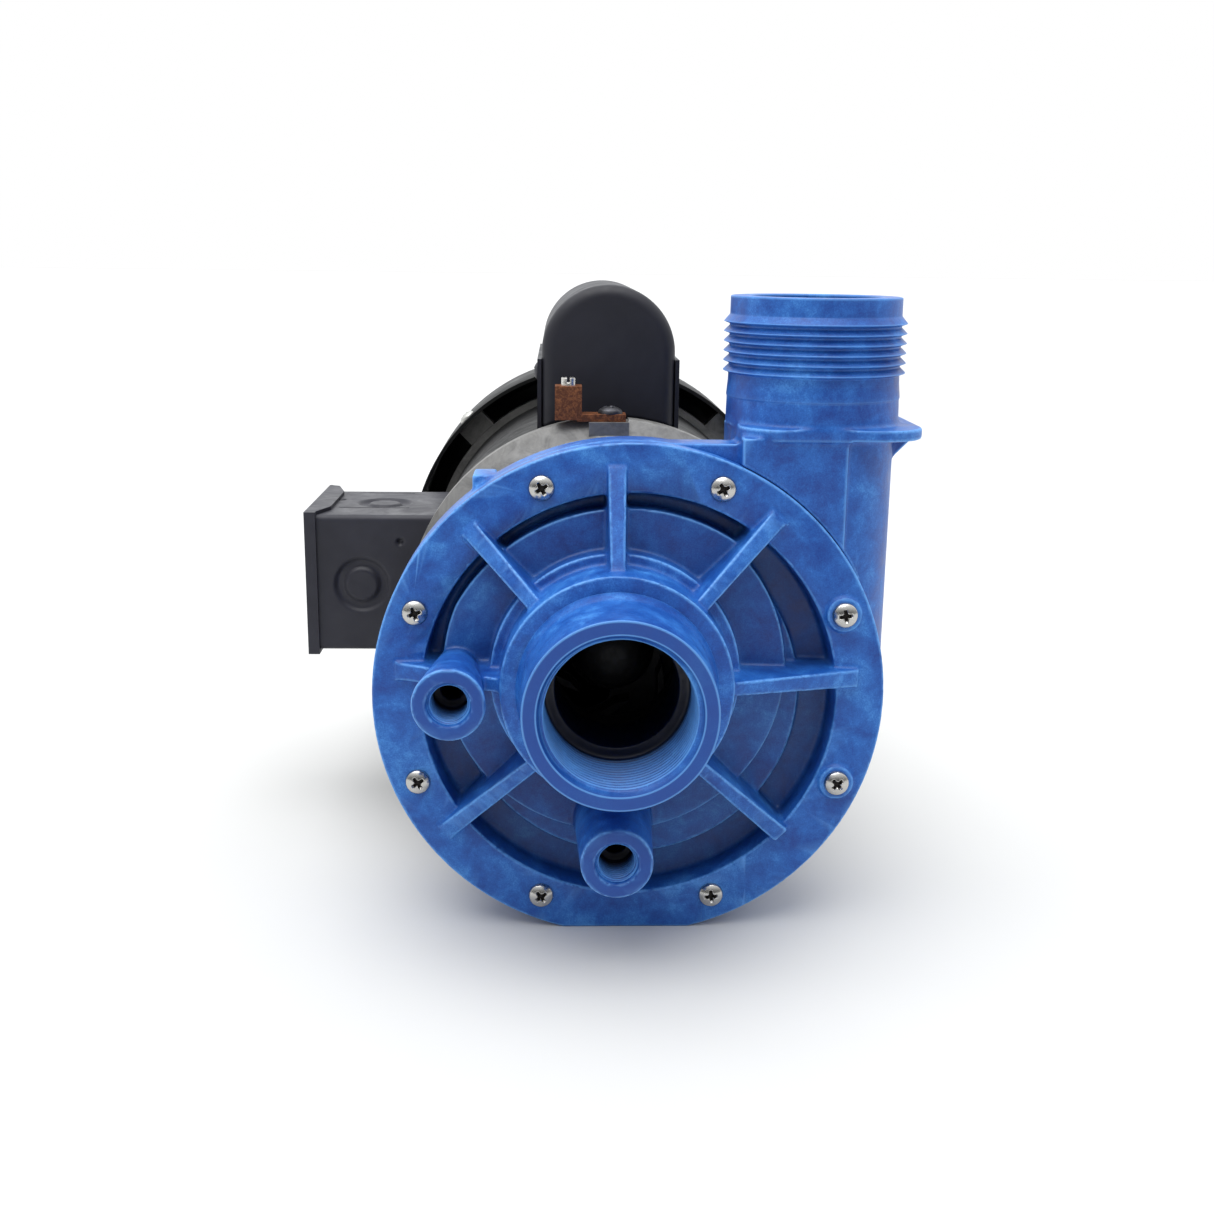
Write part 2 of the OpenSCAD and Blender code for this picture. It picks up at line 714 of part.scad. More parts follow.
module fan_cover() color(black_paint) at_shaft() difference() {
    yturn([[fan_cover_r - cover_t, fan_lip_y], [fan_cover_r, fan_lip_y], [fan_cover_r, fan_back - 7],
           [fan_cover_r - 2, fan_back - 2], [fan_cover_r - 7, fan_back],
           [0, fan_back], [0, fan_back - cover_t],
           [fan_cover_r - 7.5, fan_back - cover_t], [fan_cover_r - 3.2, fan_back - 3],
           [fan_cover_r - cover_t, fan_back - 7.2]]);
    around(30) block([-1.6, fan_back - 5, 27], [1.6, fan_back + 2, 64]);
    around(4, 45) translate([0, fan_screw_y, 78]) cylinder(r = 2.3, h = 20);
}

module fan_cover_screws() color(stainless) at_shaft() around(4, 45)
    translate([0, fan_screw_y, fan_cover_r])
    rotate([-90, 0, 0]) pan_screw(fan_cover_screw, 9);

module through_bolts() color([0.55, 0.55, 0.52]) at_shaft() around(4)
    translate([0, through_bolt_seat, through_bolt_circle]) rotate([180, 0, 0]) hex_bolt(7, 3.5, 2.08, 141.4);

// ---- Capacitor housing ----

// Half profile of the capacitor cover as [distance from its middle, y], set inwards by g
function cap_profile(g) =
    let (round_r = 4 - g * 0.6, low = cap_y[0] + g, high = cap_y[1] - g, out = cap_r - g)
    concat([[0, low]],
        [for (a = [90 : -15 : 0]) [out - round_r + round_r * cos(a), low + round_r - round_r * sin(a)]],
        [for (a = [0 : 15 : 90]) [out - round_r + round_r * cos(a), high - round_r + round_r * sin(a)]],
        [[0, high]]);

// Round-topped body with rounded front and rear edges, reaching down into the shell
module cap_body(g) {
    half = cap_profile(g);
    translate([0, 0, cap_centre]) yturn(half);
    translate([0, 0, 60]) linear_extrude(height = cap_centre - 60) polygon(concat(half,
        [for (i = [len(half) - 1 : -1 : 0]) [-half[i][0], half[i][1]]]));
}

module capacitor_cover() color(black_steel) at_shaft() difference() {
    cap_body(0);
    cap_body(cover_t);
    ycyl(shell_r + 1.4, 80, 200);
    cap_screw_holes();
}

// Holes through both sides for the two cover screws
module cap_screw_holes() {
    translate([-40, cap_screw_y, cap_screw_z]) rotate([0, 90, 0]) cylinder(r = 2.05, h = 80);
}

// Cradle welded to the shell, with two sides that grip the cover
module capacitor_saddle() color(black_steel) at_shaft() difference() {
    union() {
        intersection() {
            yring(shell_r + 1.3, shell_r + running_gap, cap_y[0] + 2, cap_y[1]);
            block([-saddle_x, 80, 60], [saddle_x, 200, 90]);
        }
        for (s = [0, 1]) mirror([s, 0, 0])
            block([cap_r + running_gap, cap_y[0] + 2, 62], [saddle_x, cap_y[1], 94]);
    }
    ycyl(shell_r + running_gap, 80, 200);
    translate([0, cap_lead_y, 60]) cylinder(r = 3.5, h = 20);
    cap_screw_holes();
}

module capacitor_cover_screws() color(black_steel) at_shaft() {
    for (s = [0, 1]) mirror([s, 0, 0]) translate([saddle_x, cap_screw_y, cap_screw_z])
        rotate([0, 0, 90]) pan_screw(cap_screw, 5);
}

module start_capacitor() color([0.10, 0.10, 0.11]) at_shaft() translate([0, 0, shell_r + 1.4 + 18.5]) {
    ycyl(18.5, 97, 172);
    yring(18.9, 17, 95.4, 97 + eps);
}

module capacitor_terminals() color([0.72, 0.55, 0.25]) at_shaft() translate([0, 0, shell_r + 1.4 + 18.5])
    for (x = [-7, 7]) {
        translate([x, 0, 0]) ycyl(3, 95.6, 97);
        block([x - 3, 92.2, -0.4], [x + 3, 95.6 + eps, 0.4]);
    }

// ---- Conduit box ----

// Outline pressed into a knock-out: two thin rings
module knockout_rings() {
    difference() {
        circle(r = 11.1);
        circle(r = 10.5);
    }
    difference() {
        circle(r = 7);
        circle(r = 6.5);
    }
}

module conduit_box() color(black_steel) at_shaft() difference() {
    union() {
        difference() {
            block([-box_out, box_y[0], box_z[0]], [-55, box_y[1], box_z[1]]);
            block([-box_out - 1, box_y[0] + sheet_t, box_z[0] + sheet_t],
                  [-50, box_y[1] - sheet_t, box_z[1] - sheet_t]);
        }
        // Tabs that take the lid's screws
        for (z = [box_z[0], box_z[1] - 7]) block([-box_out, 126, z], [-box_out + 8, 134, z + 7]);
    }
    ycyl(shell_r + running_gap, 90, 170);
    for (z = box_screw_z) translate([-box_out - 1, 130, z]) rotate([0, 90, 0]) cylinder(r = 1.6, h = 8.5);
    // Knock-outs in the front, rear and top faces, not opened
    yslab(box_y[0] - 1, box_y[0] + 0.7) translate([-95.1, 5.6]) knockout_rings();
    yslab(box_y[1] - 0.7, box_y[1] + 1) translate([-95.1, 5.6]) knockout_rings();
    translate([-88.9, 130, box_z[1] - 0.7]) linear_extrude(height = 2) knockout_rings();
    // Slots and small holes
    block([-105.5, 117.4, box_z[1] - 3], [-78, 118.6, box_z[1] + 1]);
    block([-98, 153.4, box_z[1] - 3], [-79, 154.8, box_z[1] + 1]);
    translate([-107.5, 137, box_z[1] - 3]) cylinder(r = 1.5, h = 5);
    translate([-79.9, 0, 22.7]) ycyl(1.4, 95, 105);
    translate([-95, 130, box_z[0] - 1]) cylinder(r = 1.95, h = 4);
}

// Folded lid; its top flange widens behind the front corner and ends in an ear at the rear
module conduit_lid() color(black_steel) at_shaft() difference() {
    out = -box_out - lid_t;
    fold = -box_out + lid_fold;
    union() {
        block([out, box_y[0] - lid_t, box_z[0] - lid_t], [fold, box_y[1] + lid_t, box_z[1] + lid_t]);
        translate([0, 0, box_z[1] + running_gap]) linear_extrude(height = lid_t - running_gap)
            polygon([[out, box_y[0] + 1.5], [fold, box_y[0] + 1.5], [fold + 4, box_y[0] + 13],
                     [fold + 4, box_y[1] - 10], [fold, box_y[1] + 4.5], [out, box_y[1] + 6.5]]);
        block([out, box_y[1], box_z[1] - 9], [out + lid_t - 0.1, box_y[1] + 6.5, box_z[1] + lid_t]);
    }
    block([-box_out - eps, box_y[0] - running_gap, box_z[0] - running_gap],
          [-box_out + 10, box_y[1] + running_gap, box_z[1] + running_gap]);
    for (z = box_screw_z) translate([-box_out - 5, 130, z]) rotate([0, 90, 0]) cylinder(r = 2, h = 8);
}

module conduit_lid_screws() color(stainless) at_shaft() for (z = box_screw_z)
    translate([-box_out - lid_t, 130, z]) rotate([0, 0, -90]) pan_screw(lid_screw, 8.8);

// Moulded board on two feet against the shell
module terminal_board() color([0.30, 0.14, 0.08]) at_shaft() difference() {
    union() {
        block([-82, 116, -15], [-79, 152, 20]);
        for (z = [-14.5, 13]) block([-80, 120, z], [-65, 148, z + 5]);
    }
    ycyl(shell_r + running_gap, 90, 170);
    for (y = stud_y) for (z = stud_z) translate([-84, y, z]) rotate([0, 90, 0]) cylinder(r = 2, h = 8);
}

module terminal_studs() color([0.72, 0.55, 0.25]) at_shaft() for (y = stud_y) for (z = stud_z)
    translate([0, y, z]) {
        translate([-90, 0, 0]) rotate([0, 90, 0]) cylinder(r = 1.95, h = 12);
        translate([-85, 0, 0]) rotate([0, 90, 0]) cylinder(r = 4, h = 2.9, $fn = 6);
    }

module ground_screw() color([0.10, 0.42, 0.16]) at_shaft() translate([-95, 130, box_z[0] + sheet_t]) {
    translate([0, 0, -3]) cylinder(r = 1.9, h = 3.2);
    cylinder(r = 4.2, h = 3, $fn = 6);
}

module lead_grommet() color(rubber) at_shaft() translate([0, lead_y, 0]) rotate([0, -90, 0]) difference() {
    union() {
        translate([0, 0, 68.6]) cylinder(r = lead_hole_r - 0.05, h = 5);
        translate([0, 0, shell_r + 0.05]) cylinder(r = lead_hole_r + 2.2, h = 2.2);
    }
    cylinder(r = lead_hole_r - 2, h = 80);
}

// ---- Foot ----

module foot_slot() {
    reach = foot_slot_len / 2 - foot_slot_r;
    for (x = [-reach, reach]) translate([x, 0, -1]) cylinder(r = foot_slot_r, h = 8);
    block([-reach, -foot_slot_r, -1], [reach, foot_slot_r, 7]);
}

// Outline of the foot's plate, with rounded corners
module foot_outline() {
    inset = [foot_half[0] - foot_corner, foot_half[1] - foot_corner];
    square([2 * foot_half[0], 2 * inset[1]], center = true);
    square([2 * inset[0], 2 * foot_half[1]], center = true);
    for (x = [-1, 1]) for (y = [-1, 1]) translate([x * inset[0], y * inset[1]]) circle(r = foot_corner);
}

// Pressed steel foot: a slotted plate, two webs and a cradle that follows the shell
module motor_base() color(black_paint) {
    difference() {
        linear_extrude(height = foot_t) foot_outline();
        for (x = [-1, 1]) for (y = [-1, 1])
            translate([x * foot_span_x / 2, y * foot_span_y / 2, 0]) foot_slot();
    }
    front = foot_back - foot_half[1];
    back = foot_back + foot_half[1];
    at_shaft() intersection() {
        union() {
            yring(shell_r + 3, shell_r + running_gap, front + 5, back - 5);
            difference() {
                for (x = [-50, 46]) block([x, front, flat_z + foot_t - 1], [x + 4, back, 0]);
                ycyl(shell_r + running_gap, front - 5, back + 5);
            }
        }
        block([-52, front - 5, flat_z + foot_t - 1], [52, back + 5, -45]);
    }
}

// ---- Assembly ----

face_plate();
volute_casing();
face_o_ring();
face_screws();
wear_ring();
impeller();
impeller_shroud();
impeller_insert();
seal_seat();
seal_seat_cup();
seal_face_ring();
seal_bellows();
seal_spring();
volute_bolts();
shaft_slinger();
front_bracket();
bonding_lug();
lug_set_screw();
lug_screw();
motor_shaft();
front_bearing_outer();
front_bearing_inner();
front_bearing_balls();
motor_shell();
stator_core();
stator_windings();
rotor_core();
rotor_cage();
rear_bracket();
rear_bearing_outer();
rear_bearing_inner();
rear_bearing_balls();
wave_washer();
governor_base();
governor_pins();
governor_collar();
governor_weight_upper();
governor_weight_lower();
switch_board();
cooling_fan();
fan_clip();
fan_cover();
fan_cover_screws();
through_bolts();
capacitor_saddle();
capacitor_cover();
capacitor_cover_screws();
start_capacitor();
capacitor_terminals();
conduit_box();
conduit_lid();
conduit_lid_screws();
lead_grommet();
terminal_board();
terminal_studs();
ground_screw();
motor_base();
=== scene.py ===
"""Looks of a close-coupled pool pump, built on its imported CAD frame.

Meshes are drawn in millimetres about the shaft: X to the right of the suction nose, Y from the
front of the face plate towards the fan, Z up. place() turns them into the row frame in metres.
"""

import math

import bmesh
import bpy
import numpy as np
import openvdb as vdb
from mathutils import Matrix, Vector


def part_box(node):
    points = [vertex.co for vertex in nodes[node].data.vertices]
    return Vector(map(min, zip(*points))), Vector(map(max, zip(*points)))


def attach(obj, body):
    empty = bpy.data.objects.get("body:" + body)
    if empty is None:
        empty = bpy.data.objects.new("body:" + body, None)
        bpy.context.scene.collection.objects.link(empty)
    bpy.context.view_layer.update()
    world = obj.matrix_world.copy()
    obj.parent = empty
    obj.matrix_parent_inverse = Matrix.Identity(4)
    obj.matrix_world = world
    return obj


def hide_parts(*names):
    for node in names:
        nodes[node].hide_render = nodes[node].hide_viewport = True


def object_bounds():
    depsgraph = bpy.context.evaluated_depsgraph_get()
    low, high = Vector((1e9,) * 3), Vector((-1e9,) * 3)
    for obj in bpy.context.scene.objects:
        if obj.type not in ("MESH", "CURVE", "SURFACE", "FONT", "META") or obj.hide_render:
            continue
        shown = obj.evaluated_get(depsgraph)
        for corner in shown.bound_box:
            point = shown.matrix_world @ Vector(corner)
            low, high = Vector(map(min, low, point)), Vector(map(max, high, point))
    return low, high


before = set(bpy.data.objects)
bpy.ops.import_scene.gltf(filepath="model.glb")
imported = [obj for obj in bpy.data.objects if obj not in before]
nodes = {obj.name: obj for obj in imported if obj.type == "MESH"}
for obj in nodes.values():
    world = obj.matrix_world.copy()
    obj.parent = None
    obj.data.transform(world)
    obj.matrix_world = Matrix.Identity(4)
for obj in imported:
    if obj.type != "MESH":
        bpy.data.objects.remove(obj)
cad_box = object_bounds()

MM = 0.001
INCH = 25.4
NOSE_FACE = -49.4  # the suction nose's open end, in front of the flange's face
shaft_low, shaft_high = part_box("motor_shaft")
ORIGIN = np.array([(shaft_low.x + shaft_high.x) / 2,
                   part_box("face_plate")[0].y - NOSE_FACE * MM,
                   (shaft_low.z + shaft_high.z) / 2])
VOXEL = 0.4  # grid spacing of the moulded castings
SEAM = 1e-6  # metres within which doubled points become one

# Places on the wet end; the flange's, ports' and shaft's centres are (x, z), the neck's is (x, y)
SHAFT = (0, 0)
FLANGE_CENTRE = (4.9, -9.5)
SCREW_CIRCLE = 75.4  # radius
PORTS = ((-51.5, 0.0), (0.0, -51.5))
PORT_FACE = -37.8
PORT_DEPTH = -21.0
RIB_TURNS = (0, 45.5, 91.5, 135, 225, 270, 315)  # degrees from the top, clockwise in front view
COLLAR_FACE = -23.4
THREAD_END = -20.1  # inner end of the suction nose's thread
NECK = (66.05, 29.8)
NECK_TOP = 119.8
NECK_JOINT = 88.0  # the turned neck stands on the volute's moulding here


# -------- meshes

def box_mm(node):
    """Lowest and highest corner of a CAD node in millimetres about the shaft."""
    low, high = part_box(node)
    return (np.array(low) - ORIGIN) / MM, (np.array(high) - ORIGIN) / MM


def place(points):
    """Millimetres about the shaft to metres in the row frame."""
    return np.asarray(points, float) * MM + ORIGIN


def linked(name, data):
    """A new object of the scene that shows data."""
    thing = bpy.data.objects.new(name, data)
    bpy.context.scene.collection.objects.link(thing)
    return thing


def mesh_object(name, points, faces, material, smooth=True):
    """A mesh object from points in millimetres and faces as index tuples or an index array."""
    mesh = bpy.data.meshes.new(name)
    points = place(points)
    if isinstance(faces, np.ndarray):
        sides = faces.shape[1]
        mesh.vertices.add(len(points))
        mesh.vertices.foreach_set("co", points.astype(np.float32).ravel())
        mesh.loops.add(faces.size)
        mesh.loops.foreach_set("vertex_index", faces.astype(np.int32).ravel())
        mesh.polygons.add(len(faces))
        mesh.polygons.foreach_set("loop_start", np.arange(0, faces.size, sides, dtype=np.int32))
    else:
        mesh.from_pydata([tuple(p) for p in points], [], faces)
    mesh.update(calc_edges=True)
    mesh.validate()
    mesh.polygons.foreach_set("use_smooth", [smooth] * len(mesh.polygons))
    mesh.materials.append(material)
    return linked(name, mesh)


def outward(piece, merge=0.0):
    """Turns every face of a closed piece outwards; points closer than merge become one."""
    work = bmesh.new()
    work.from_mesh(piece.data)
    if merge:
        bmesh.ops.remove_doubles(work, verts=work.verts, dist=merge)
    bmesh.ops.recalc_face_normals(work, faces=work.faces)
    work.to_mesh(piece.data)
    work.free()
    return piece


def joined(name, pieces):
    """One object from several; the first one's materials come first."""
    with bpy.context.temp_override(active_object=pieces[0], selected_editable_objects=pieces,
                                   selected_objects=pieces, object=pieces[0]):
        bpy.ops.object.join()
    pieces[0].name = name
    pieces[0].data.name = name
    return pieces[0]


def applied(piece):
    """The piece with its modifiers worked into its mesh."""
    graph = bpy.context.evaluated_depsgraph_get()
    mesh = bpy.data.meshes.new_from_object(piece.evaluated_get(graph))
    old = piece.data
    piece.modifiers.clear()
    piece.data = mesh
    bpy.data.meshes.remove(old)
    return piece


def sheet_metal(piece, thickness):
    """The piece's surface as pressed sheet: its seams merged and a wall added inside."""
    outward(piece, merge=SEAM)
    wall = piece.modifiers.new("wall", "SOLIDIFY")
    wall.thickness = thickness * MM
    wall.offset = -1
    return applied(piece)


def mesh_points(mesh):
    """A mesh's points, one row of coordinates each."""
    points = np.empty(len(mesh.vertices) * 3)
    mesh.vertices.foreach_get("co", points)
    return points.reshape(-1, 3)


def rounded(corners, steps=5):
    """Polyline through (x, y, radius) corners, each replaced by an arc of its radius."""
    line = []
    count = len(corners)
    for i, (x, y, radius) in enumerate(corners):
        here = np.array([x, y], float)
        if radius <= 0:
            line.append(here)
            continue
        before = np.array(corners[i - 1][:2], float) - here
        after = np.array(corners[(i + 1) % count][:2], float) - here
        size_before, size_after = np.linalg.norm(before), np.linalg.norm(after)
        before, after = before / size_before, after / size_after
        half = math.acos(max(-1, min(1, float(before @ after)))) / 2
        reach = min(radius / math.tan(half), size_before * 0.49, size_after * 0.49)
        radius = reach * math.tan(half)
        centre = here + (before + after) / np.linalg.norm(before + after) * radius / math.sin(half)
        start, end = here + before * reach - centre, here + after * reach - centre
        turn = math.pi - 2 * half
        for k in range(steps + 1):
            share = k / steps
            arc = math.sin((1 - share) * turn) * start + math.sin(share * turn) * end
            line.append(centre + arc / math.sin(turn))
    return np.array(line)


def dense(line, near=0.3, apart=3.0):
    """The closed outline with points beside each corner and along each long straight."""
    points = []
    for here, following in zip(line, np.roll(line, -1, axis=0)):
        points.append(here)
        length = np.linalg.norm(following - here)
        if length > 3 * near:
            inner = np.linspace(near, length - near, 2 + int(length / apart))
            points += [here + (following - here) * reach / length for reach in inner]
    return np.array(points)


def ring_rows(line, segments):
    """A ring of (radius, angle, along) triples for each (radius, along) point of an outline."""
    turn = np.linspace(0, 2 * math.pi, segments, endpoint=False)
    line = np.asarray(line, float)
    rows = np.empty((len(line), segments, 3))
    rows[:, :, 0] = line[:, 0:1]
    rows[:, :, 1] = turn
    rows[:, :, 2] = line[:, 1:2]
    return rows


def thread_rows(root_r, height, low, high, pitch, segments):
    """Rings of a helical inside thread, from high down to low; it fades out at both ends."""
    step, runout, crest_width, flank = 0.24, 0.8, 1.25, 3.2
    turn = np.linspace(0, 2 * math.pi, segments, endpoint=False)
    along = np.arange(high, low, -step)
    rows = np.empty((len(along), segments, 3))
    phase = (along[:, None] / pitch + turn[None, :] / (2 * math.pi)) % 1.0
    ridge = np.clip(crest_width - np.abs(phase - 0.5) * flank, 0, 1)
    fade = np.clip(np.minimum(along - low, high - along) / runout, 0, 1)[:, None]
    rows[:, :, 0] = root_r - height * ridge * fade
    rows[:, :, 1] = turn
    rows[:, :, 2] = along[:, None]
    return rows


def revolved(name, rows, centre, axis, material):
    """Closed body from stacked rings about an axis along Y or Z through centre (x, z) or (x, y)."""
    count, segments = rows.shape[:2]
    radius, turn, along = rows.reshape(-1, 3).T
    side, other = radius * np.cos(turn) + centre[0], radius * np.sin(turn) + centre[1]
    points = np.stack([side, along, other] if axis == "Y" else [side, other, along], axis=1)
    first = np.arange(count)[:, None] * segments
    across = np.arange(segments)[None, :]
    a = first + across
    b = first + (across + 1) % segments
    up = ((np.arange(count) + 1) % count)[:, None] * segments
    faces = np.stack([a, b, up + (across + 1) % segments, up + across], axis=2).reshape(-1, 4)
    return outward(mesh_object(name, points, faces, material))


def curvature(piece):
    """Stores as "edge" how convex the mesh is at each point, from -1 in a corner to 1 on an edge."""
    mesh = piece.data
    points = mesh_points(mesh) / MM
    normals = np.empty(len(mesh.vertices) * 3)
    mesh.vertex_normals.foreach_get("vector", normals)
    normals = normals.reshape(-1, 3)
    ends = np.empty(len(mesh.edges) * 2, np.int32)
    mesh.edges.foreach_get("vertices", ends)
    a, b = ends.reshape(-1, 2).T
    gap = points[b] - points[a]
    bend = ((normals[b] - normals[a]) * gap).sum(1) / np.maximum((gap * gap).sum(1), 1e-6)
    total = np.bincount(a, bend, len(points)) + np.bincount(b, bend, len(points))
    count = np.bincount(a, minlength=len(points)) + np.bincount(b, minlength=len(points))
    gain = 1.2
    value = np.clip(total / np.maximum(count, 1) * gain, -1, 1)
    layer = mesh.attributes.new("edge", "FLOAT", "POINT")
    layer.data.foreach_set("value", value.astype(np.float32))
    return piece


def marked(piece, name, centre, radii, depths, most=1.0):
    """Stores a share that rises to most between two depths along Y, inside a band of radii."""
    mesh = piece.data
    points = (mesh_points(mesh) - ORIGIN) / MM
    reach = np.hypot(points[:, 0] - centre[0], points[:, 2] - centre[1])
    inside = (reach > radii[0]) & (reach < radii[1])
    value = most * inside * np.clip((points[:, 1] - depths[0]) / (depths[1] - depths[0]), 0, 1)
    layer = mesh.attributes.get(name) or mesh.attributes.new(name, "FLOAT", "POINT")
    before = np.empty(len(points), np.float32)
    layer.data.foreach_get("value", before)
    layer.data.foreach_set("value", np.maximum(before, value).astype(np.float32))


def cad_arrays(node):
    """Points in millimetres and triangles of a CAD node."""
    mesh = nodes[node].data
    mesh.calc_loop_triangles()
    triangles = np.empty(len(mesh.loop_triangles) * 3, np.int32)
    mesh.loop_triangles.foreach_get("vertices", triangles)
    return (mesh_points(mesh) - ORIGIN) / MM, triangles.reshape(-1, 3)


def offset_surface(surface, by):
    """The surface moved outwards by a distance, through a signed distance grid."""
    points, triangles, quads = surface
    grid = vdb.FloatGrid.createLevelSetFromPolygons(
        points.astype(np.float32), triangles=triangles, quads=quads,
        transform=vdb.createLinearTransform(voxelSize=VOXEL), halfWidth=abs(by) / VOXEL + 3)
    return grid.convertToPolygons(isovalue=by, adaptivity=0.0)


def moulded(name, points, triangles, material, fillet, edge, most_faces):
    """A casting's skin: inside corners filled to a fillet radius, outside edges rounded."""
    surface = (points, triangles, np.zeros((0, 4), np.int32))
    for by in (fillet, -fillet - edge, edge):
        surface = offset_surface(surface, by)
    piece = mesh_object(name, surface[0], surface[2][:, ::-1], material)
    triangle_count = len(piece.data.polygons) * 2
    if triangle_count > most_faces:
        thin = piece.modifiers.new("thin", "DECIMATE")
        thin.ratio = most_faces / triangle_count
        applied(piece)
        piece.data.polygons.foreach_set("use_smooth", [True] * len(piece.data.polygons))
    return piece


def softened(node_object, width):
    """Rounds a CAD node's sharp edges with modifiers, so that they catch the light."""
    weld = node_object.modifiers.new("weld", "WELD")
    weld.merge_threshold = SEAM
    flat = node_object.modifiers.new("flat", "DECIMATE")
    flat.decimate_type = "DISSOLVE"
    flat.angle_limit = math.radians(0.2)
    bevel = node_object.modifiers.new("bevel", "BEVEL")
    bevel.width = width * MM
    bevel.segments = 2
    bevel.limit_method = "ANGLE"
    bevel.angle_limit = math.radians(30)
    bevel.harden_normals = True


def stands_for(piece, node):
    """The piece rides on the pump's body in place of a CAD node, which is hidden."""
    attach(piece, "pump_body")
    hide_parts(node)


# -------- materials

class Shader:
    """A Principled material whose nodes are added by short calls."""

    def __init__(self, name, color, roughness, metallic=0.0):
        self.material = bpy.data.materials.new(name)
        self.material.use_nodes = True
        tree = self.material.node_tree
        tree.nodes.clear()
        self.new = tree.nodes.new
        self.link = tree.links.new
        output = self.new("ShaderNodeOutputMaterial")
        self.surface = self.new("ShaderNodeBsdfPrincipled")
        self.link(self.surface.outputs[0], output.inputs[0])
        self.surface.inputs["Base Color"].default_value = (*color, 1)
        self.surface.inputs["Roughness"].default_value = roughness
        self.surface.inputs["Metallic"].default_value = metallic
        where = self.new("ShaderNodeTexCoord")
        scale = self.new("ShaderNodeMapping")
        scale.inputs["Scale"].default_value = (1 / MM, 1 / MM, 1 / MM)
        self.link(where.outputs["Object"], scale.inputs["Vector"])
        self.millimetres = scale.outputs["Vector"]
        self.normal = None

    def set(self, socket, value):
        """Feeds a socket from another one, or sets it to a number or colour."""
        if isinstance(value, bpy.types.NodeSocket):
            self.link(value, socket)
        elif hasattr(value, "__len__") and len(value) == 3 and len(socket.default_value) == 4:
            socket.default_value = (*value, 1)
        else:
            socket.default_value = value

    def noise(self, size, detail=3.0, roughness=0.55, distortion=0.0, stretch=(1, 1, 1), shift=0):
        """Noise whose features are about size millimetres across."""
        spread = self.new("ShaderNodeMapping")
        spread.inputs["Scale"].default_value = tuple(1 / s for s in stretch)
        spread.inputs["Location"].default_value = (shift, shift, shift)
        self.link(self.millimetres, spread.inputs["Vector"])
        texture = self.new("ShaderNodeTexNoise")
        for socket, amount in zip(("Scale", "Detail", "Roughness", "Distortion"),
                                  (1 / size, detail, roughness, distortion)):
            texture.inputs[socket].default_value = amount
        self.link(spread.outputs["Vector"], texture.inputs["Vector"])
        return texture.outputs["Fac"]

    def cells(self, size):
        """Distance to the middle of the nearest of cells about size millimetres across."""
        texture = self.new("ShaderNodeTexVoronoi")
        texture.inputs["Scale"].default_value = 1 / size
        self.link(self.millimetres, texture.inputs["Vector"])
        return texture.outputs["Distance"]

    def axis(self, letter):
        """One coordinate in millimetres."""
        split = self.new("ShaderNodeSeparateXYZ")
        self.link(self.millimetres, split.inputs[0])
        return split.outputs[letter]

    def attribute(self, name):
        """A share stored on the mesh; 0 where the mesh has none."""
        found = self.new("ShaderNodeAttribute")
        found.attribute_name = name
        return found.outputs["Fac"]

    def math(self, operation, a, b=0.0):
        node = self.new("ShaderNodeMath")
        node.operation = operation
        self.set(node.inputs[0], a)
        self.set(node.inputs[1], b)
        return node.outputs[0]

    def weighted(self, *parts):
        """Sum of (value, weight) parts."""
        total = 0.0
        for value, weight in parts:
            total = self.math("ADD", total, self.math("MULTIPLY", value, weight))
        return total

    def fit(self, value, low, high, to_low=0.0, to_high=1.0):
        """The value's stretch from low to high laid over another stretch, held at its ends."""
        node = self.new("ShaderNodeMapRange")
        for socket, amount in zip(("Value", "From Min", "From Max", "To Min", "To Max"),
                                  (value, low, high, to_low, to_high)):
            self.set(node.inputs[socket], amount)
        return node.outputs[0]

    def mix(self, share, a, b):
        """Colour a with a share of colour b laid over it."""
        node = self.new("ShaderNodeMix")
        node.data_type = "RGBA"
        self.set(node.inputs["Factor"], share)
        self.set(node.inputs["A"], a)
        self.set(node.inputs["B"], b)
        return node.outputs["Result"]

    def ramp(self, value, *stops):
        """Colours along a value from (position, colour) stops."""
        node = self.new("ShaderNodeValToRGB")
        places = node.color_ramp.elements
        while len(places) < len(stops):
            places.new(0.5)
        for stop, (position, color) in zip(places, stops):
            stop.position = position
            stop.color = (*color, 1)
        self.set(node.inputs[0], value)
        return node.outputs["Color"]

    def color(self, value):
        self.set(self.surface.inputs["Base Color"], value)

    def roughness(self, pattern, low, high, spread=0.2):
        """Roughness from low to high, while a pattern goes from 0.5 - spread to 0.5 + spread."""
        value = self.fit(pattern, 0.5 - spread, 0.5 + spread, low, high)
        self.set(self.surface.inputs["Roughness"], value)

    def bump(self, height, depth):
        """Relief of depth millimetres, added to what is there."""
        node = self.new("ShaderNodeBump")
        node.inputs["Distance"].default_value = depth * MM
        self.link(height, node.inputs["Height"])
        if self.normal is not None:
            self.link(self.normal, node.inputs["Normal"])
        self.normal = node.outputs["Normal"]
        self.set(self.surface.inputs["Normal"], self.normal)


def srgb(red, green, blue):
    """Linear colour from 0..255 screen values."""
    return tuple(c / 12.92 if c <= 0.04045 else ((c + 0.055) / 1.055) ** 2.4
                 for c in (red / 255, green / 255, blue / 255))


def scaled(color, factor):
    """A darker or lighter tone of a colour."""
    return tuple(c * factor for c in color)


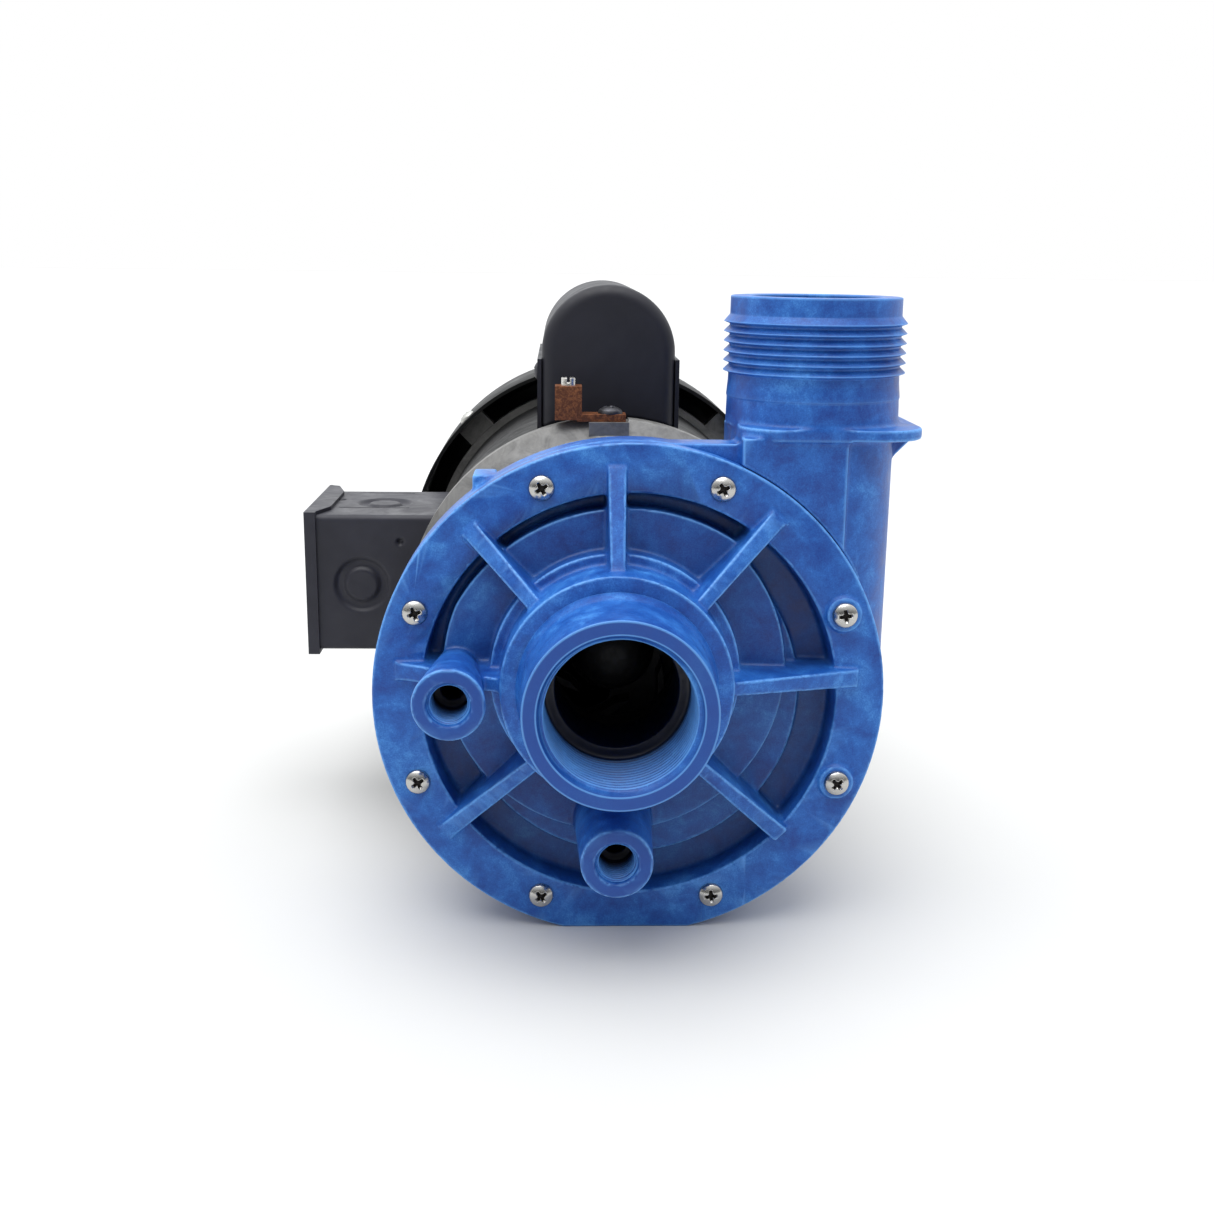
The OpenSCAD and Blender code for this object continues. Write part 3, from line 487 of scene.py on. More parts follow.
def blue_plastic(name, turned=None, rim_haze_and_highlight=0.65):
    """Mottled blue glass-filled plastic; turned gives the axis of fine tool marks."""
    look = Shader(name, srgb(50, 100, 180), 0.40)
    look.surface.inputs["Specular IOR Level"].default_value = 0.36
    clouds = look.noise(24, 3, 0.6, 0.4)
    patches = look.noise(8.5, 4, 0.62, 0.45, shift=40)
    grain = look.noise(0.5, 2, 0.8)
    flecks = look.noise(1.6, 3, 0.7, shift=90)
    mottle = look.weighted((clouds, 0.40), (patches, 0.38), (grain, 0.24), (flecks, 0.13))
    base = look.ramp(mottle, (0.44, srgb(20, 60, 138)), (0.54, srgb(28, 82, 163)),
                     (0.62, srgb(40, 102, 184)), (0.76, srgb(76, 148, 220)))
    base = look.mix(look.fit(look.attribute("cut"), 0, 1, 0, 0.85), base, srgb(26, 68, 146))
    # Lighter on convex edges: partly a whitish haze on the plastic, partly a painted highlight where
    # light catches the edges.
    haze_and_highlight = look.fit(look.attribute("edge"), 0.10, 0.60, 0.0, rim_haze_and_highlight)
    base = look.mix(haze_and_highlight, base, srgb(112, 178, 246))
    # Lighter in inside corners: a painted highlight, the thin bright lines where light catches the
    # fillets at the ribs' bases.
    corner = look.fit(look.attribute("edge"), -0.45, -0.08, 0.10, 0.0)
    base = look.mix(corner, base, srgb(96, 142, 206))
    # Painted shade: the throat, disc, trough and port bores darken towards navy where little light
    # reaches.
    base = look.mix(look.attribute("shade"), base, srgb(4, 14, 42))
    look.color(base)
    look.roughness(patches, 0.34, 0.50, spread=0.15)
    look.bump(look.noise(0.35, 2, 0.6), 0.018)
    look.bump(look.noise(5, 3, 0.5), 0.10)
    if turned:
        tool_step = 0.42
        wave = look.math("SINE", look.math("MULTIPLY", look.axis(turned), 2 * math.pi / tool_step))
        wave = look.math("MULTIPLY", wave, look.fit(look.noise(9, 2), 0.35, 0.65, 0.3, 1.0))
        look.bump(wave, 0.012)
    return look.material


def powder_coat(name, color, shine, dust=0.0):
    """Satin paint on pressed steel with orange peel and a share of dust."""
    look = Shader(name, color, shine)
    look.surface.inputs["Specular IOR Level"].default_value = 0.3
    shade = look.fit(look.noise(30, 3, 0.6, 0.5), 0.3, 0.7, 0.0, 1.0)
    base = look.mix(shade, scaled(color, 0.8), scaled(color, 1.25))
    if dust:
        film = look.math("MULTIPLY", look.fit(look.noise(6, 6, 0.75, 1.2), 0.50, 0.78),
                         look.fit(look.noise(28, 3, 0.6), 0.40, 0.66))
        film = look.math("MULTIPLY", film, dust)
        base = look.mix(film, base, (0.17, 0.165, 0.16))
        specks = look.fit(look.cells(2.6), 0.0, 0.12, 0.25 * dust, 0.0)
        base = look.mix(specks, base, (0.22, 0.215, 0.21))
    look.color(base)
    look.roughness(look.noise(11, 5, 0.65, 0.8), shine * 0.78, shine * 1.3)
    look.bump(look.noise(1.1, 3, 0.6), 0.02)
    look.bump(look.noise(0.3, 2, 0.5), 0.006)
    return look.material


def cast_metal(name, color, roughness):
    """Die-cast aluminium: fine sand skin with a few darker stains."""
    look = Shader(name, color, roughness, 0.3)
    stain = look.fit(look.noise(9, 5, 0.7, 1.0), 0.42, 0.72)
    look.color(look.mix(stain, color, scaled(color, 0.55)))
    look.roughness(look.noise(3.5, 4, 0.6), roughness * 0.8, roughness * 1.35)
    look.bump(look.noise(0.5, 3, 0.65), 0.05)
    look.bump(look.noise(4, 3, 0.5), 0.08)
    return look.material


def steel(name, color, roughness, lines=None, wear=0.25, grit=0.006):
    """Machined or rolled metal; lines gives how far its tool lines stretch along each axis."""
    look = Shader(name, color, roughness, 1.0)
    smudge = look.fit(look.noise(2.4, 5, 0.7, 0.6), 0.35, 0.7)
    look.color(look.mix(look.math("MULTIPLY", smudge, wear), color, scaled(color, 0.42)))
    look.roughness(look.noise(0.9, 4, 0.7), roughness * 0.7, roughness * 1.5)
    if lines:
        look.bump(look.noise(0.25, 2, 0.6, stretch=lines), 0.012)
    look.bump(look.noise(0.4, 2, 0.5), grit)
    return look.material


def patinated(name, dark, light):
    """Copper alloy gone brown, with brighter rubbed spots."""
    look = Shader(name, dark, 0.5, 0.55)
    spots = look.fit(look.noise(1.3, 5, 0.75, 0.6), 0.44, 0.66)
    base = look.mix(spots, dark, light)
    pits = look.fit(look.noise(0.5, 3, 0.7, shift=20), 0.55, 0.75, 0.0, 0.6)
    base = look.mix(pits, base, scaled(dark, 0.35))
    look.color(base)
    look.roughness(look.noise(0.8, 4, 0.6), 0.38, 0.62)
    look.bump(look.noise(0.35, 3, 0.65), 0.03)
    return look.material


def rubber(name):
    """Moulded rubber: matt, with a bloom of lighter dust."""
    color = (0.018, 0.018, 0.019)
    look = Shader(name, color, 0.6)
    bloom = look.fit(look.noise(3, 5, 0.7), 0.45, 0.75, 0, 0.5)
    look.color(look.mix(bloom, color, (0.07, 0.07, 0.068)))
    look.roughness(look.noise(2, 3), 0.5, 0.72)
    look.bump(look.noise(0.4, 3, 0.6), 0.02)
    return look.material


def ceramic(name, color, polish):
    """Dense fired seal material with a lapped face."""
    look = Shader(name, color, polish)
    mottle = look.fit(look.noise(0.8, 4, 0.7), 0.4, 0.7, 0, 0.35)
    look.color(look.mix(mottle, color, scaled(color, 0.7)))
    look.roughness(look.noise(1.5, 3), polish * 0.8, polish * 1.4)
    look.bump(look.noise(0.3, 2), 0.004)
    return look.material


def laminations(name):
    """Stacked sheet edges: fine lines across the shaft with rust-brown traces."""
    steel_grey, sheet = (0.20, 0.20, 0.21), 0.65
    look = Shader(name, steel_grey, 0.42, 0.9)
    stack = look.math("SINE", look.math("MULTIPLY", look.axis("Y"), 2 * math.pi / sheet))
    tint = look.fit(look.noise(6, 5, 0.7, 0.8), 0.45, 0.72)
    base = look.mix(tint, steel_grey, (0.13, 0.085, 0.06))
    look.color(look.mix(look.fit(stack, -1, 1, 0, 0.35), base, (0.06, 0.06, 0.065)))
    look.roughness(look.noise(2, 3), 0.34, 0.55)
    look.bump(stack, 0.05)
    return look.material


def enamelled_wire(name):
    """Wound and varnished copper wire."""
    look = Shader(name, (0.32, 0.10, 0.035), 0.3, 0.7)
    strands = look.noise(0.75, 2, 0.5, 0.6, stretch=(2.2, 0.5, 2.2))
    look.color(look.ramp(strands, (0.3, (0.10, 0.03, 0.012)), (0.5, (0.33, 0.11, 0.04)),
                         (0.7, (0.50, 0.20, 0.08))))
    look.roughness(look.noise(4, 3), 0.22, 0.45)
    look.bump(strands, 0.22)
    return look.material


def phenolic(name):
    """Brown moulded board with a paper-like fibre pattern."""
    look = Shader(name, (0.10, 0.035, 0.015), 0.42)
    fibre = look.noise(0.9, 4, 0.65, 0.7, stretch=(1, 3, 1))
    look.color(look.ramp(fibre, (0.35, (0.055, 0.018, 0.009)), (0.65, (0.15, 0.055, 0.022))))
    look.roughness(look.noise(3, 3), 0.34, 0.52)
    look.bump(fibre, 0.02)
    return look.material


def moulded_plastic(name, color=(0.022, 0.022, 0.024), shine=0.4):
    """Glass-filled plastic, black unless a colour is given, with faint flow marks."""
    look = Shader(name, color, shine)
    flow = look.noise(5, 4, 0.65, 1.4)
    look.color(look.mix(look.fit(flow, 0.4, 0.7), color, scaled(color, 2.1)))
    look.roughness(flow, shine * 0.8, shine * 1.3)
    look.bump(look.noise(0.5, 3, 0.6), 0.02)
    return look.material


def anodised_green(name):
    """Green plated ground screw."""
    green = (0.02, 0.20, 0.06)
    look = Shader(name, green, 0.32, 0.8)
    look.color(look.mix(look.fit(look.noise(0.9, 4, 0.7), 0.4, 0.7), green, (0.05, 0.32, 0.12)))
    look.roughness(look.noise(1.2, 3), 0.24, 0.45)
    look.bump(look.noise(0.35, 2), 0.01)
    return look.material


def floor_paper(name):
    """Pale seamless studio paper."""
    look = Shader(name, (0.62, 0.62, 0.61), 0.75)
    look.color(look.mix(look.noise(60, 3, 0.5), (0.615, 0.615, 0.61), (0.63, 0.63, 0.62)))
    look.bump(look.noise(1.5, 3, 0.6), 0.02)
    return look.material


BLUE = blue_plastic("blue_plastic")
BLUE_TURNED = blue_plastic("blue_plastic_turned", turned="Y", rim_haze_and_highlight=0.5)
BLUE_NECK = blue_plastic("blue_plastic_neck", turned="Z", rim_haze_and_highlight=0.3)
CHARCOAL = powder_coat("charcoal_powder_coat", srgb(38, 38, 45), 0.46)
BOX_PAINT = powder_coat("conduit_box_powder_coat", srgb(47, 47, 55), 0.42)
BLACK_PAINT = powder_coat("black_motor_paint", srgb(4, 4, 6), 0.50, dust=0.10)
FAN_PAINT = powder_coat("black_fan_cover_paint", srgb(5, 5, 6), 0.50, dust=0.06)
CAST = cast_metal("die_cast_aluminium", (0.20, 0.197, 0.19), 0.5)
SCREW_HEAD = steel("polished_stainless_steel", (0.52, 0.51, 0.49), 0.20, wear=0.12, grit=0.0015)
# Near-black metal for the cross recesses of the screw heads: painted shade.
SCREW_RECESS_SHADE = steel("recess_painted_shade", (0.035, 0.032, 0.03), 0.55)
STAINLESS = steel("stainless_steel", (0.80, 0.78, 0.74), 0.24)
BRIGHT_STEEL = steel("ground_steel", (0.62, 0.62, 0.63), 0.22, lines=(1, 0.12, 1))
DARK_STEEL = steel("blackened_steel", (0.085, 0.085, 0.095), 0.42)
ZINC = steel("zinc_plated_steel", (0.60, 0.60, 0.57), 0.36)
BRASS = steel("brass", (0.62, 0.42, 0.16), 0.30)
COPPER = patinated("copper_patina", srgb(104, 62, 40), srgb(168, 104, 62))
RUBBER = rubber("black_rubber")
CARBON = ceramic("carbon_graphite", (0.035, 0.035, 0.038), 0.32)
CERAMIC = ceramic("white_ceramic", (0.80, 0.78, 0.72), 0.22)
STACK = laminations("lamination_steel")
WIRE = enamelled_wire("enamelled_copper_wire")
BOARD = phenolic("phenolic_board")
IMPELLER = moulded_plastic("impeller_plastic", (0.006, 0.006, 0.007), 0.6)
BLACK_PLASTIC = moulded_plastic("black_plastic")
RED_PLASTIC = moulded_plastic("red_collar_plastic", (0.22, 0.035, 0.02), 0.38)
GREEN = anodised_green("green_plated_screw")
PAPER = floor_paper("studio_paper")


# -------- wet end

def face_plate():
    """Moulded face plate with a turned suction nose and threaded gauge ports."""
    points, triangles = cad_arrays("face_plate")
    nose_r = 36.9
    nose = (np.hypot(points[:, 0], points[:, 2]) < nose_r) & (points[:, 1] < COLLAR_FACE)
    points[nose, 1] = COLLAR_FACE
    draw_out_ribs(points)
    widen_ports(points)
    body = moulded("face_plate_body", points, triangles, BLUE, fillet=0.8, edge=0.22, most_faces=100000)
    turned = [suction_nose()] + [port_thread(port) for port in PORTS]
    plate = joined("face_plate_moulding", [curvature(piece) for piece in [body] + turned])
    mark_plate(plate)
    stands_for(plate, "face_plate")


def draw_out_ribs(points):
    """Raises the front edge of each rib's tip, narrows it and draws it out over the flange."""
    inner_end, half_width, lowest, highest = 60, 2.8, -0.4, -1.2
    taper, reach, proud = 0.62, 1.6, 0.9
    for angle in np.radians(RIB_TURNS):
        out = np.array([np.sin(angle), np.cos(angle)])
        side = np.array([np.cos(angle), -np.sin(angle)])
        along, across = points[:, [0, 2]] @ out, points[:, [0, 2]] @ side
        tip = (along > inner_end) & (np.abs(across) < half_width)
        tip &= (points[:, 1] < lowest) & (points[:, 1] > highest)
        points[np.ix_(tip, [0, 2])] += reach * out - taper * across[tip, None] * side
        points[tip, 1] -= proud


def widen_ports(points):
    """Opens the gauge ports' bores for their threaded sleeves."""
    bore_r, sleeve_r = 5.6, 6.5
    for x, z in PORTS:
        reach = np.hypot(points[:, 0] - x, points[:, 2] - z)
        wall = (np.abs(reach - bore_r) < 0.1) & (points[:, 1] < PORT_DEPTH + 0.3)
        grow = sleeve_r / reach[wall]
        points[wall, 0] = x + (points[wall, 0] - x) * grow
        points[wall, 2] = z + (points[wall, 2] - z) * grow


def port_thread(centre):
    """Threaded sleeve of a gauge port, 18 turns per inch."""
    thread_root, thread_height, outer_r, mouth_r, segments = 6.45, 0.85, 6.9, 6.5, 72
    low, high = PORT_FACE + 1.6, PORT_DEPTH + 0.2
    inside = thread_rows(thread_root, thread_height, low, high, INCH / 18, segments)
    outside = ring_rows([(mouth_r, low - 0.1), (outer_r, low + 0.3), (outer_r, high)], segments)
    return revolved("port_thread", np.concatenate([inside, outside]), centre, "Y", BLUE_TURNED)


def mark_plate(plate):
    """Paints shade into the throat, disc, trough and ports, where little light reaches, and marks the
    faces that a tool has cut.
    """
    marked(plate, "shade", SHAFT, radii=(0, 24.5), depths=(THREAD_END - 6, THREAD_END - 0.5))
    marked(plate, "shade", SHAFT, radii=(36, 62), depths=(-6, 0.2), most=0.30)
    marked(plate, "shade", FLANGE_CENTRE, radii=(50, 68), depths=(2.0, 9.0), most=0.50)
    marked(plate, "cut", SHAFT, radii=(24, 29.6), depths=(NOSE_FACE + 0.5, NOSE_FACE + 0.3))
    for port in PORTS:
        marked(plate, "shade", port, radii=(0, 6.4), depths=(PORT_FACE + 9, PORT_FACE + 14))
        marked(plate, "cut", port, radii=(6.6, 11.6), depths=(PORT_FACE + 0.8, PORT_FACE + 0.5))


def suction_nose():
    """Turned nose: tapered outside, flat lip, chamfered mouth and 11.5 per inch inside thread."""
    thread_root, thread_height, core_r, segments = 23.9, 1.0, 25.5, 200
    root_y = COLLAR_FACE + 2
    outside = rounded([(24.9, NOSE_FACE, 0.35), (29.5, NOSE_FACE, 0.45), (30.2, COLLAR_FACE - 3.5, 3),
                       (31.9, COLLAR_FACE + 0.1, 0.6), (32.2, root_y, 0), (core_r, root_y, 0),
                       (core_r, THREAD_END, 0), (thread_root, THREAD_END, 0)])
    outside = ring_rows(dense(outside)[:-1], segments)
    inside = thread_rows(thread_root, thread_height, NOSE_FACE + 1.3, THREAD_END, INCH / 11.5, segments)
    return revolved("nose", np.concatenate([outside, inside]), SHAFT, "Y", BLUE_TURNED)


def volute():
    """Moulded volute; above the joint its turned discharge neck takes over."""
    points, triangles = cad_arrays("volute_casing")
    stump_r = 28.5
    reach = np.hypot(points[:, 0] - NECK[0], points[:, 1] - NECK[1])
    above = points[:, 2] > NECK_JOINT
    wide = above & (reach > stump_r)
    for column, centre in enumerate(NECK):
        points[wide, column] = centre + (points[wide, column] - centre) * stump_r / reach[wide]
    points[above, 2] = NECK_JOINT
    body = moulded("volute_body", points, triangles, BLUE, fillet=1.2, edge=0.3, most_faces=130000)
    casing = joined("volute_moulding", [curvature(body), curvature(discharge_neck())])
    stands_for(casing, "volute_casing")


def discharge_neck():
    """Open end of the neck; its six buttress crests lean away from the open end."""
    pitch, crests, crest_r, root_r, bore_r, segments = INCH / 8, 6, 30.15, 28.2, 21.5, 200
    flank, groove = 0.75, 1.3
    first, low = NECK_TOP - 8.4, NECK_JOINT - 3
    outline = [(bore_r, NECK_TOP, 0.6), (28.1, NECK_TOP, 0.5), (28.15, first + 2.4, 0.8)]
    for i in range(crests):
        tip = first - i * pitch
        outline += [(crest_r, tip, 0.12), (root_r, tip - flank, 0.15)]
        if i < crests - 1:
            outline.append((root_r, tip - groove, 0.15))
    outline += [(28.3, first - crests * pitch, 0.8), (28.72, NECK_JOINT - 0.5, 0), (28.0, low, 0),
                (bore_r, low, 0)]
    return revolved("neck", ring_rows(dense(rounded(outline, 3)), segments), NECK, "Z", BLUE_NECK)


# -------- fasteners

def phillips_head(radius, height, shank_r, shank_length, turn):
    """Domed head with a tapered cross recess: points about its seat, faces and recess points."""
    rings, spokes = 44, 112
    angles = np.linspace(0, 2 * math.pi, spokes, endpoint=False)
    share = np.linspace(0, 1, rings + 1)[1:]
    reach = radius * np.sin(share * math.pi / 2) ** 0.9
    x, z = reach[:, None] * np.cos(angles), reach[:, None] * np.sin(angles)
    dome_r = radius * 1.45
    dome_low = math.sqrt(dome_r ** 2 - radius ** 2)
    crown = np.sqrt(dome_r ** 2 - np.minimum(x * x + z * z, radius ** 2)) - dome_low
    rim = np.clip((radius - np.hypot(x, z)) / (radius * 0.12), 0, 1)
    top = (height - (dome_r - dome_low)) * np.sqrt(1 - (1 - rim) ** 2) + crown
    u = x * math.cos(turn) + z * math.sin(turn)
    v = z * math.cos(turn) - x * math.sin(turn)
    wing, length, depth = radius * 0.155, radius * 0.56, height * 0.62

    def arm(along, across):
        side = np.clip((wing - np.abs(across)) / (wing * 0.45), 0, 1)
        end = np.clip((length - np.abs(along)) / (length * 0.42), 0, 1)
        return side * end

    middle = np.clip(1.35 - np.hypot(u, v) / (wing * 1.5), 0, 1)
    recess = np.maximum(np.maximum(arm(u, v), arm(v, u)), middle)
    top = top - depth * recess
    points = [(0.0, depth - height, 0.0)]
    points += [(x[i, j], -top[i, j], z[i, j]) for i in range(rings) for j in range(spokes)]
    shank = ((radius * 0.985, 0.0), (shank_r, 0.0), (shank_r, shank_length - 0.6),
             (shank_r * 0.7, shank_length))
    for r, y in shank:
        points += [(r * math.cos(a), y, r * math.sin(a)) for a in angles]
    faces = [(0, 1 + j, 1 + (j + 1) % spokes) for j in range(spokes)]
    last = rings + len(shank) - 1
    for i in range(last):
        low, high = 1 + i * spokes, 1 + (i + 1) * spokes
        for j in range(spokes):
            following = (j + 1) % spokes
            faces.append((low + j, high + j, high + following, low + following))
    faces.append(tuple(1 + last * spokes + j for j in range(spokes)))
    hollow = {0} | {1 + i * spokes + j for i, j in zip(*np.nonzero(recess > 0.55))}
    return np.array(points), faces, hollow


def screws(name, places, material, **size):
    """Cross-recess screws at (seat, head direction, turn) places, as one object."""
    all_points, all_faces, in_recess = [], [], []
    for seat, way, turn in places:
        points, faces, hollow = phillips_head(turn=turn, **size)
        spin = Vector((0, -1, 0)).rotation_difference(Vector(way)).to_matrix()
        start = sum(len(p) for p in all_points)
        all_points.append(points @ np.array(spin).T + np.array(seat))
        all_faces += [tuple(start + i for i in face) for face in faces]
        in_recess += [all(i in hollow for i in face) for face in faces]
    piece = mesh_object(name, np.concatenate(all_points), all_faces, material)
    # The faces deep in each cross recess take the near-black material as painted shade.
    piece.data.materials.append(SCREW_RECESS_SHADE)
    piece.data.polygons.foreach_set("material_index", [int(deep) for deep in in_recess])
    return outward(piece)


def face_screws():
    """Eight screws on the flange circle; the two on the right sit on bosses."""
    turns = (0.50, 0.15, 0.75, 0.10, 0.65, 0.60, 0.35, 0.55)
    boss_height = 1.5
    places = []
    for i, turn in enumerate(turns):
        angle = math.radians(22.5 + 45 * i)
        seat = (FLANGE_CENTRE[0] + SCREW_CIRCLE * math.sin(angle), -boss_height if i in (1, 2) else 0.0,
                FLANGE_CENTRE[1] + SCREW_CIRCLE * math.cos(angle))
        places.append((seat, (0, -1, 0), turn))
    piece = screws("face_screw_set", places, SCREW_HEAD, radius=4.25, height=2.4, shank_r=1.93,
                   shank_length=12.0)
    stands_for(piece, "face_screws")


def fan_cover_screws():
    """Four screws round the fan cover's skirt."""
    low, high = box_mm("fan_cover_screws")
    along = (low[1] + high[1]) / 2
    skirt = box_mm("fan_cover")[1][0]
    places = []
    for i in range(4):
        angle = math.radians(45 + 90 * i)
        way = (math.sin(angle), 0, math.cos(angle))
        places.append(((way[0] * skirt, along, way[2] * skirt), way, 0.4 + i))
    piece = screws("fan_cover_screw_set", places, ZINC, radius=3.8, height=2.2, shank_r=1.88,
                   shank_length=8.5)
    stands_for(piece, "fan_cover_screws")


def capacitor_cover_screws():
    """One screw through each side of the cradle."""
    low, high = box_mm("capacitor_cover_screws")
    y, z = (low[1] + high[1]) / 2, (low[2] + high[2]) / 2
    side = box_mm("capacitor_saddle")[1][0]
    places = [((s * side, y, z), (s, 0, 0), 0.3 + s) for s in (-1, 1)]
    piece = screws("capacitor_screw_set", places, DARK_STEEL, radius=3.6, height=2.1, shank_r=2.0,
                   shank_length=4.8)
    stands_for(piece, "capacitor_cover_screws")


def conduit_lid_screws():
    """Two screws through the conduit box lid."""
    low, high = box_mm("conduit_lid_screws")
    y, head_r = (low[1] + high[1]) / 2, 3.4
    side = box_mm("conduit_lid")[0][0]
    heights = (low[2] + head_r, high[2] - head_r)
    places = [((side, y, z), (-1, 0, 0), 0.7 + i) for i, z in enumerate(heights)]
    piece = screws("lid_screw_set", places, ZINC, radius=head_r, height=2.0, shank_r=1.58,
                   shank_length=8.4)
    stands_for(piece, "conduit_lid_screws")


def lug_screw():
    """Dark screw that holds the bonding lug on the bracket's pad."""
    low, high = box_mm("lug_screw")
    head = 2.8
    seat = ((low[0] + high[0]) / 2, (low[1] + high[1]) / 2, high[2] - head)
    piece = screws("lug_hold_down_screw", [(seat, (0, 0, 1), 0.5)], DARK_STEEL, radius=4.45,
                   height=head, shank_r=2.0, shank_length=8.8)
    stands_for(piece, "lug_screw")


# -------- capacitor housing and conduit box

def capacitor_cover():
    """Deep-drawn cover: a round-topped wall with rounded front and rear edges."""
    low, high = box_mm("capacitor_cover")
    half, front, length = (high[0] - low[0]) / 2, low[1], high[1] - low[1]
    centre_z, shell = high[2] - half, box_mm("motor_shell")[1][0] + 1.5
    edge, edge_steps, side_rows, arch, straight = 4.6, 8, 18, 56, 16
    profile = [(half * share, front) for share in (0.0, 0.25, 0.5, 0.72)]
    for k in range(edge_steps + 1):
        angle = math.pi / 2 * k / edge_steps
        profile.append((half - edge + edge * math.sin(angle), front + edge - edge * math.cos(angle)))
    rear = [(reach, low[1] + high[1] - y) for reach, y in reversed(profile)]
    profile += [(half, front + edge + (length - 2 * edge) * k / side_rows) for k in range(1, side_rows)]
    profile += rear
    points, faces = [], []
    columns = arch + 2 * straight + 1
    for reach, y in profile:
        foot = math.sqrt(shell ** 2 - reach ** 2)
        for j in range(columns):
            if j < straight:
                x, z = -reach, foot + (centre_z - foot) * j / straight
            elif j <= straight + arch:
                angle = math.pi * (j - straight) / arch
                x, z = -reach * math.cos(angle), centre_z + reach * math.sin(angle)
            else:
                x, z = reach, centre_z + (foot - centre_z) * (j - straight - arch) / straight
            points.append((x, y, z))
    for i in range(len(profile) - 1):
        a, b = i * columns, (i + 1) * columns
        faces += [(a + j, a + j + 1, b + j + 1, b + j) for j in range(columns - 1)]
    cover = sheet_metal(mesh_object("capacitor_cover_shell", points, faces, CHARCOAL), 1.5)
    stands_for(cover, "capacitor_cover")


def knock_out(u, v, centre):
    """Relief of a knock-out pressed into sheet: a round trough about a disc level with the sheet."""
    outer_r, inner_r, depth, slope = 11.2, 5.6, 1.3, 1.9
    reach = np.hypot(u - centre[0], v - centre[1])
    share = np.clip(np.minimum(outer_r - reach, reach - inner_r) / slope, 0, 1)
    return -depth * share * share * (3 - 2 * share)


def dimple(u, v, centre, radius):
    """Relief of a small punched hole, drawn as a deep dimple."""
    depth, softness = 1.3, 0.12
    reach = np.hypot(u - centre[0], v - centre[1])
    return -depth / (1 + np.exp((reach - radius) / softness))


def folded_loop(y0, y1, z0, z1, corner, cell):
    """Points (y, z) and outward directions round a box's section with rounded corners."""
    walls = (((y0, z0 + corner), (y0, z1 - corner), (-1, 0)),
             ((y0 + corner, z1), (y1 - corner, z1), (0, 1)),
             ((y1, z1 - corner), (y1, z0 + corner), (1, 0)),
             ((y1 - corner, z0), (y0 + corner, z0), (0, -1)))
    corner_steps = 5
    loop, normals = [], []
    for i, (start, end, way) in enumerate(walls):
        start, end, way = np.array(start), np.array(end), np.array(way, float)
        count = int(np.linalg.norm(end - start) / cell)
        for k in range(count + 1):
            loop.append(start + (end - start) * k / count)
            normals.append(way)
        following = np.array(walls[(i + 1) % 4][2], float)
        middle = loop[-1] - way * corner
        for k in range(1, corner_steps):
            turn = math.pi / 2 * k / corner_steps
            direction = way * math.cos(turn) + following * math.sin(turn)
            loop.append(middle + direction * corner)
            normals.append(direction)
    return np.array(loop), np.array(normals)


def conduit_box():
    """Four walls folded from one sheet, with pressed knock-outs, slots and small holes."""
    low, high = box_mm("conduit_box")
    corner, cell, steep = 2.2, 0.6, 0.9
    x_left, shell = low[0] + 0.02, box_mm("motor_shell")[1][0]
    loop, normals = folded_loop(low[1], high[1], low[2], high[2], corner, cell)
    right = -np.sqrt(np.maximum(shell ** 2 - loop[:, 1] ** 2, 0)) - 0.05
    columns = int((right.max() - x_left) / cell)
    x = x_left + (right[:, None] - x_left) * np.linspace(0, 1, columns + 1)[None, :]
    y = np.repeat(loop[:, 0:1], columns + 1, 1)
    z = np.repeat(loop[:, 1:2], columns + 1, 1)
    front, rear = normals[:, 0] < -steep, normals[:, 0] > steep
    roof, under = normals[:, 1] > steep, normals[:, 1] < -steep
    side_knock_out, side_hole = (-95.1, 5.6), (-79.9, 22.7)
    roof_knock_out, roof_hole, under_knock_out = (-88.9, 130), (-107.5, 137), (-95.1, 130)
    height = np.zeros_like(x)
    for wall in (front, rear):
        height[wall] += knock_out(x[wall], z[wall], side_knock_out)
    height[front] += dimple(x[front], z[front], side_hole, 1.2)
    height[roof] += knock_out(x[roof], y[roof], roof_knock_out)
    height[roof] += dimple(x[roof], y[roof], roof_hole, 1.5)
    height[under] += knock_out(x[under], y[under], under_knock_out)
    points = np.stack([x, y + normals[:, 0:1] * height, z + normals[:, 1:2] * height], axis=2)
    roof_slots = ((-105.5, -78, 117.2, 118.8), (-98.5, -79, 153.4, 155.0))
    faces = []
    for i in range(len(loop)):
        following = (i + 1) % len(loop)
        for j in range(columns):
            mid_x = (x[i, j] + x[i, j + 1]) / 2
            mid_y = (y[i, j] + y[following, j]) / 2
            if roof[i] and any(a < mid_x < b and c < mid_y < d for a, b, c, d in roof_slots):
                continue
            a, b = i * (columns + 1) + j, following * (columns + 1) + j
            faces.append((a, a + 1, b + 1, b))
    walls = mesh_object("conduit_box_walls", points.reshape(-1, 3), faces, BOX_PAINT)
    stands_for(sheet_metal(walls, 1.4), "conduit_box")


# -------- carried-over CAD nodes

def dress(node, material, edge):
    """Gives a CAD node its material and, unless edge is 0, rounded edges."""
    materials = nodes[node].data.materials
    materials.clear()
    materials.append(material)
    if edge:
        softened(nodes[node], edge)


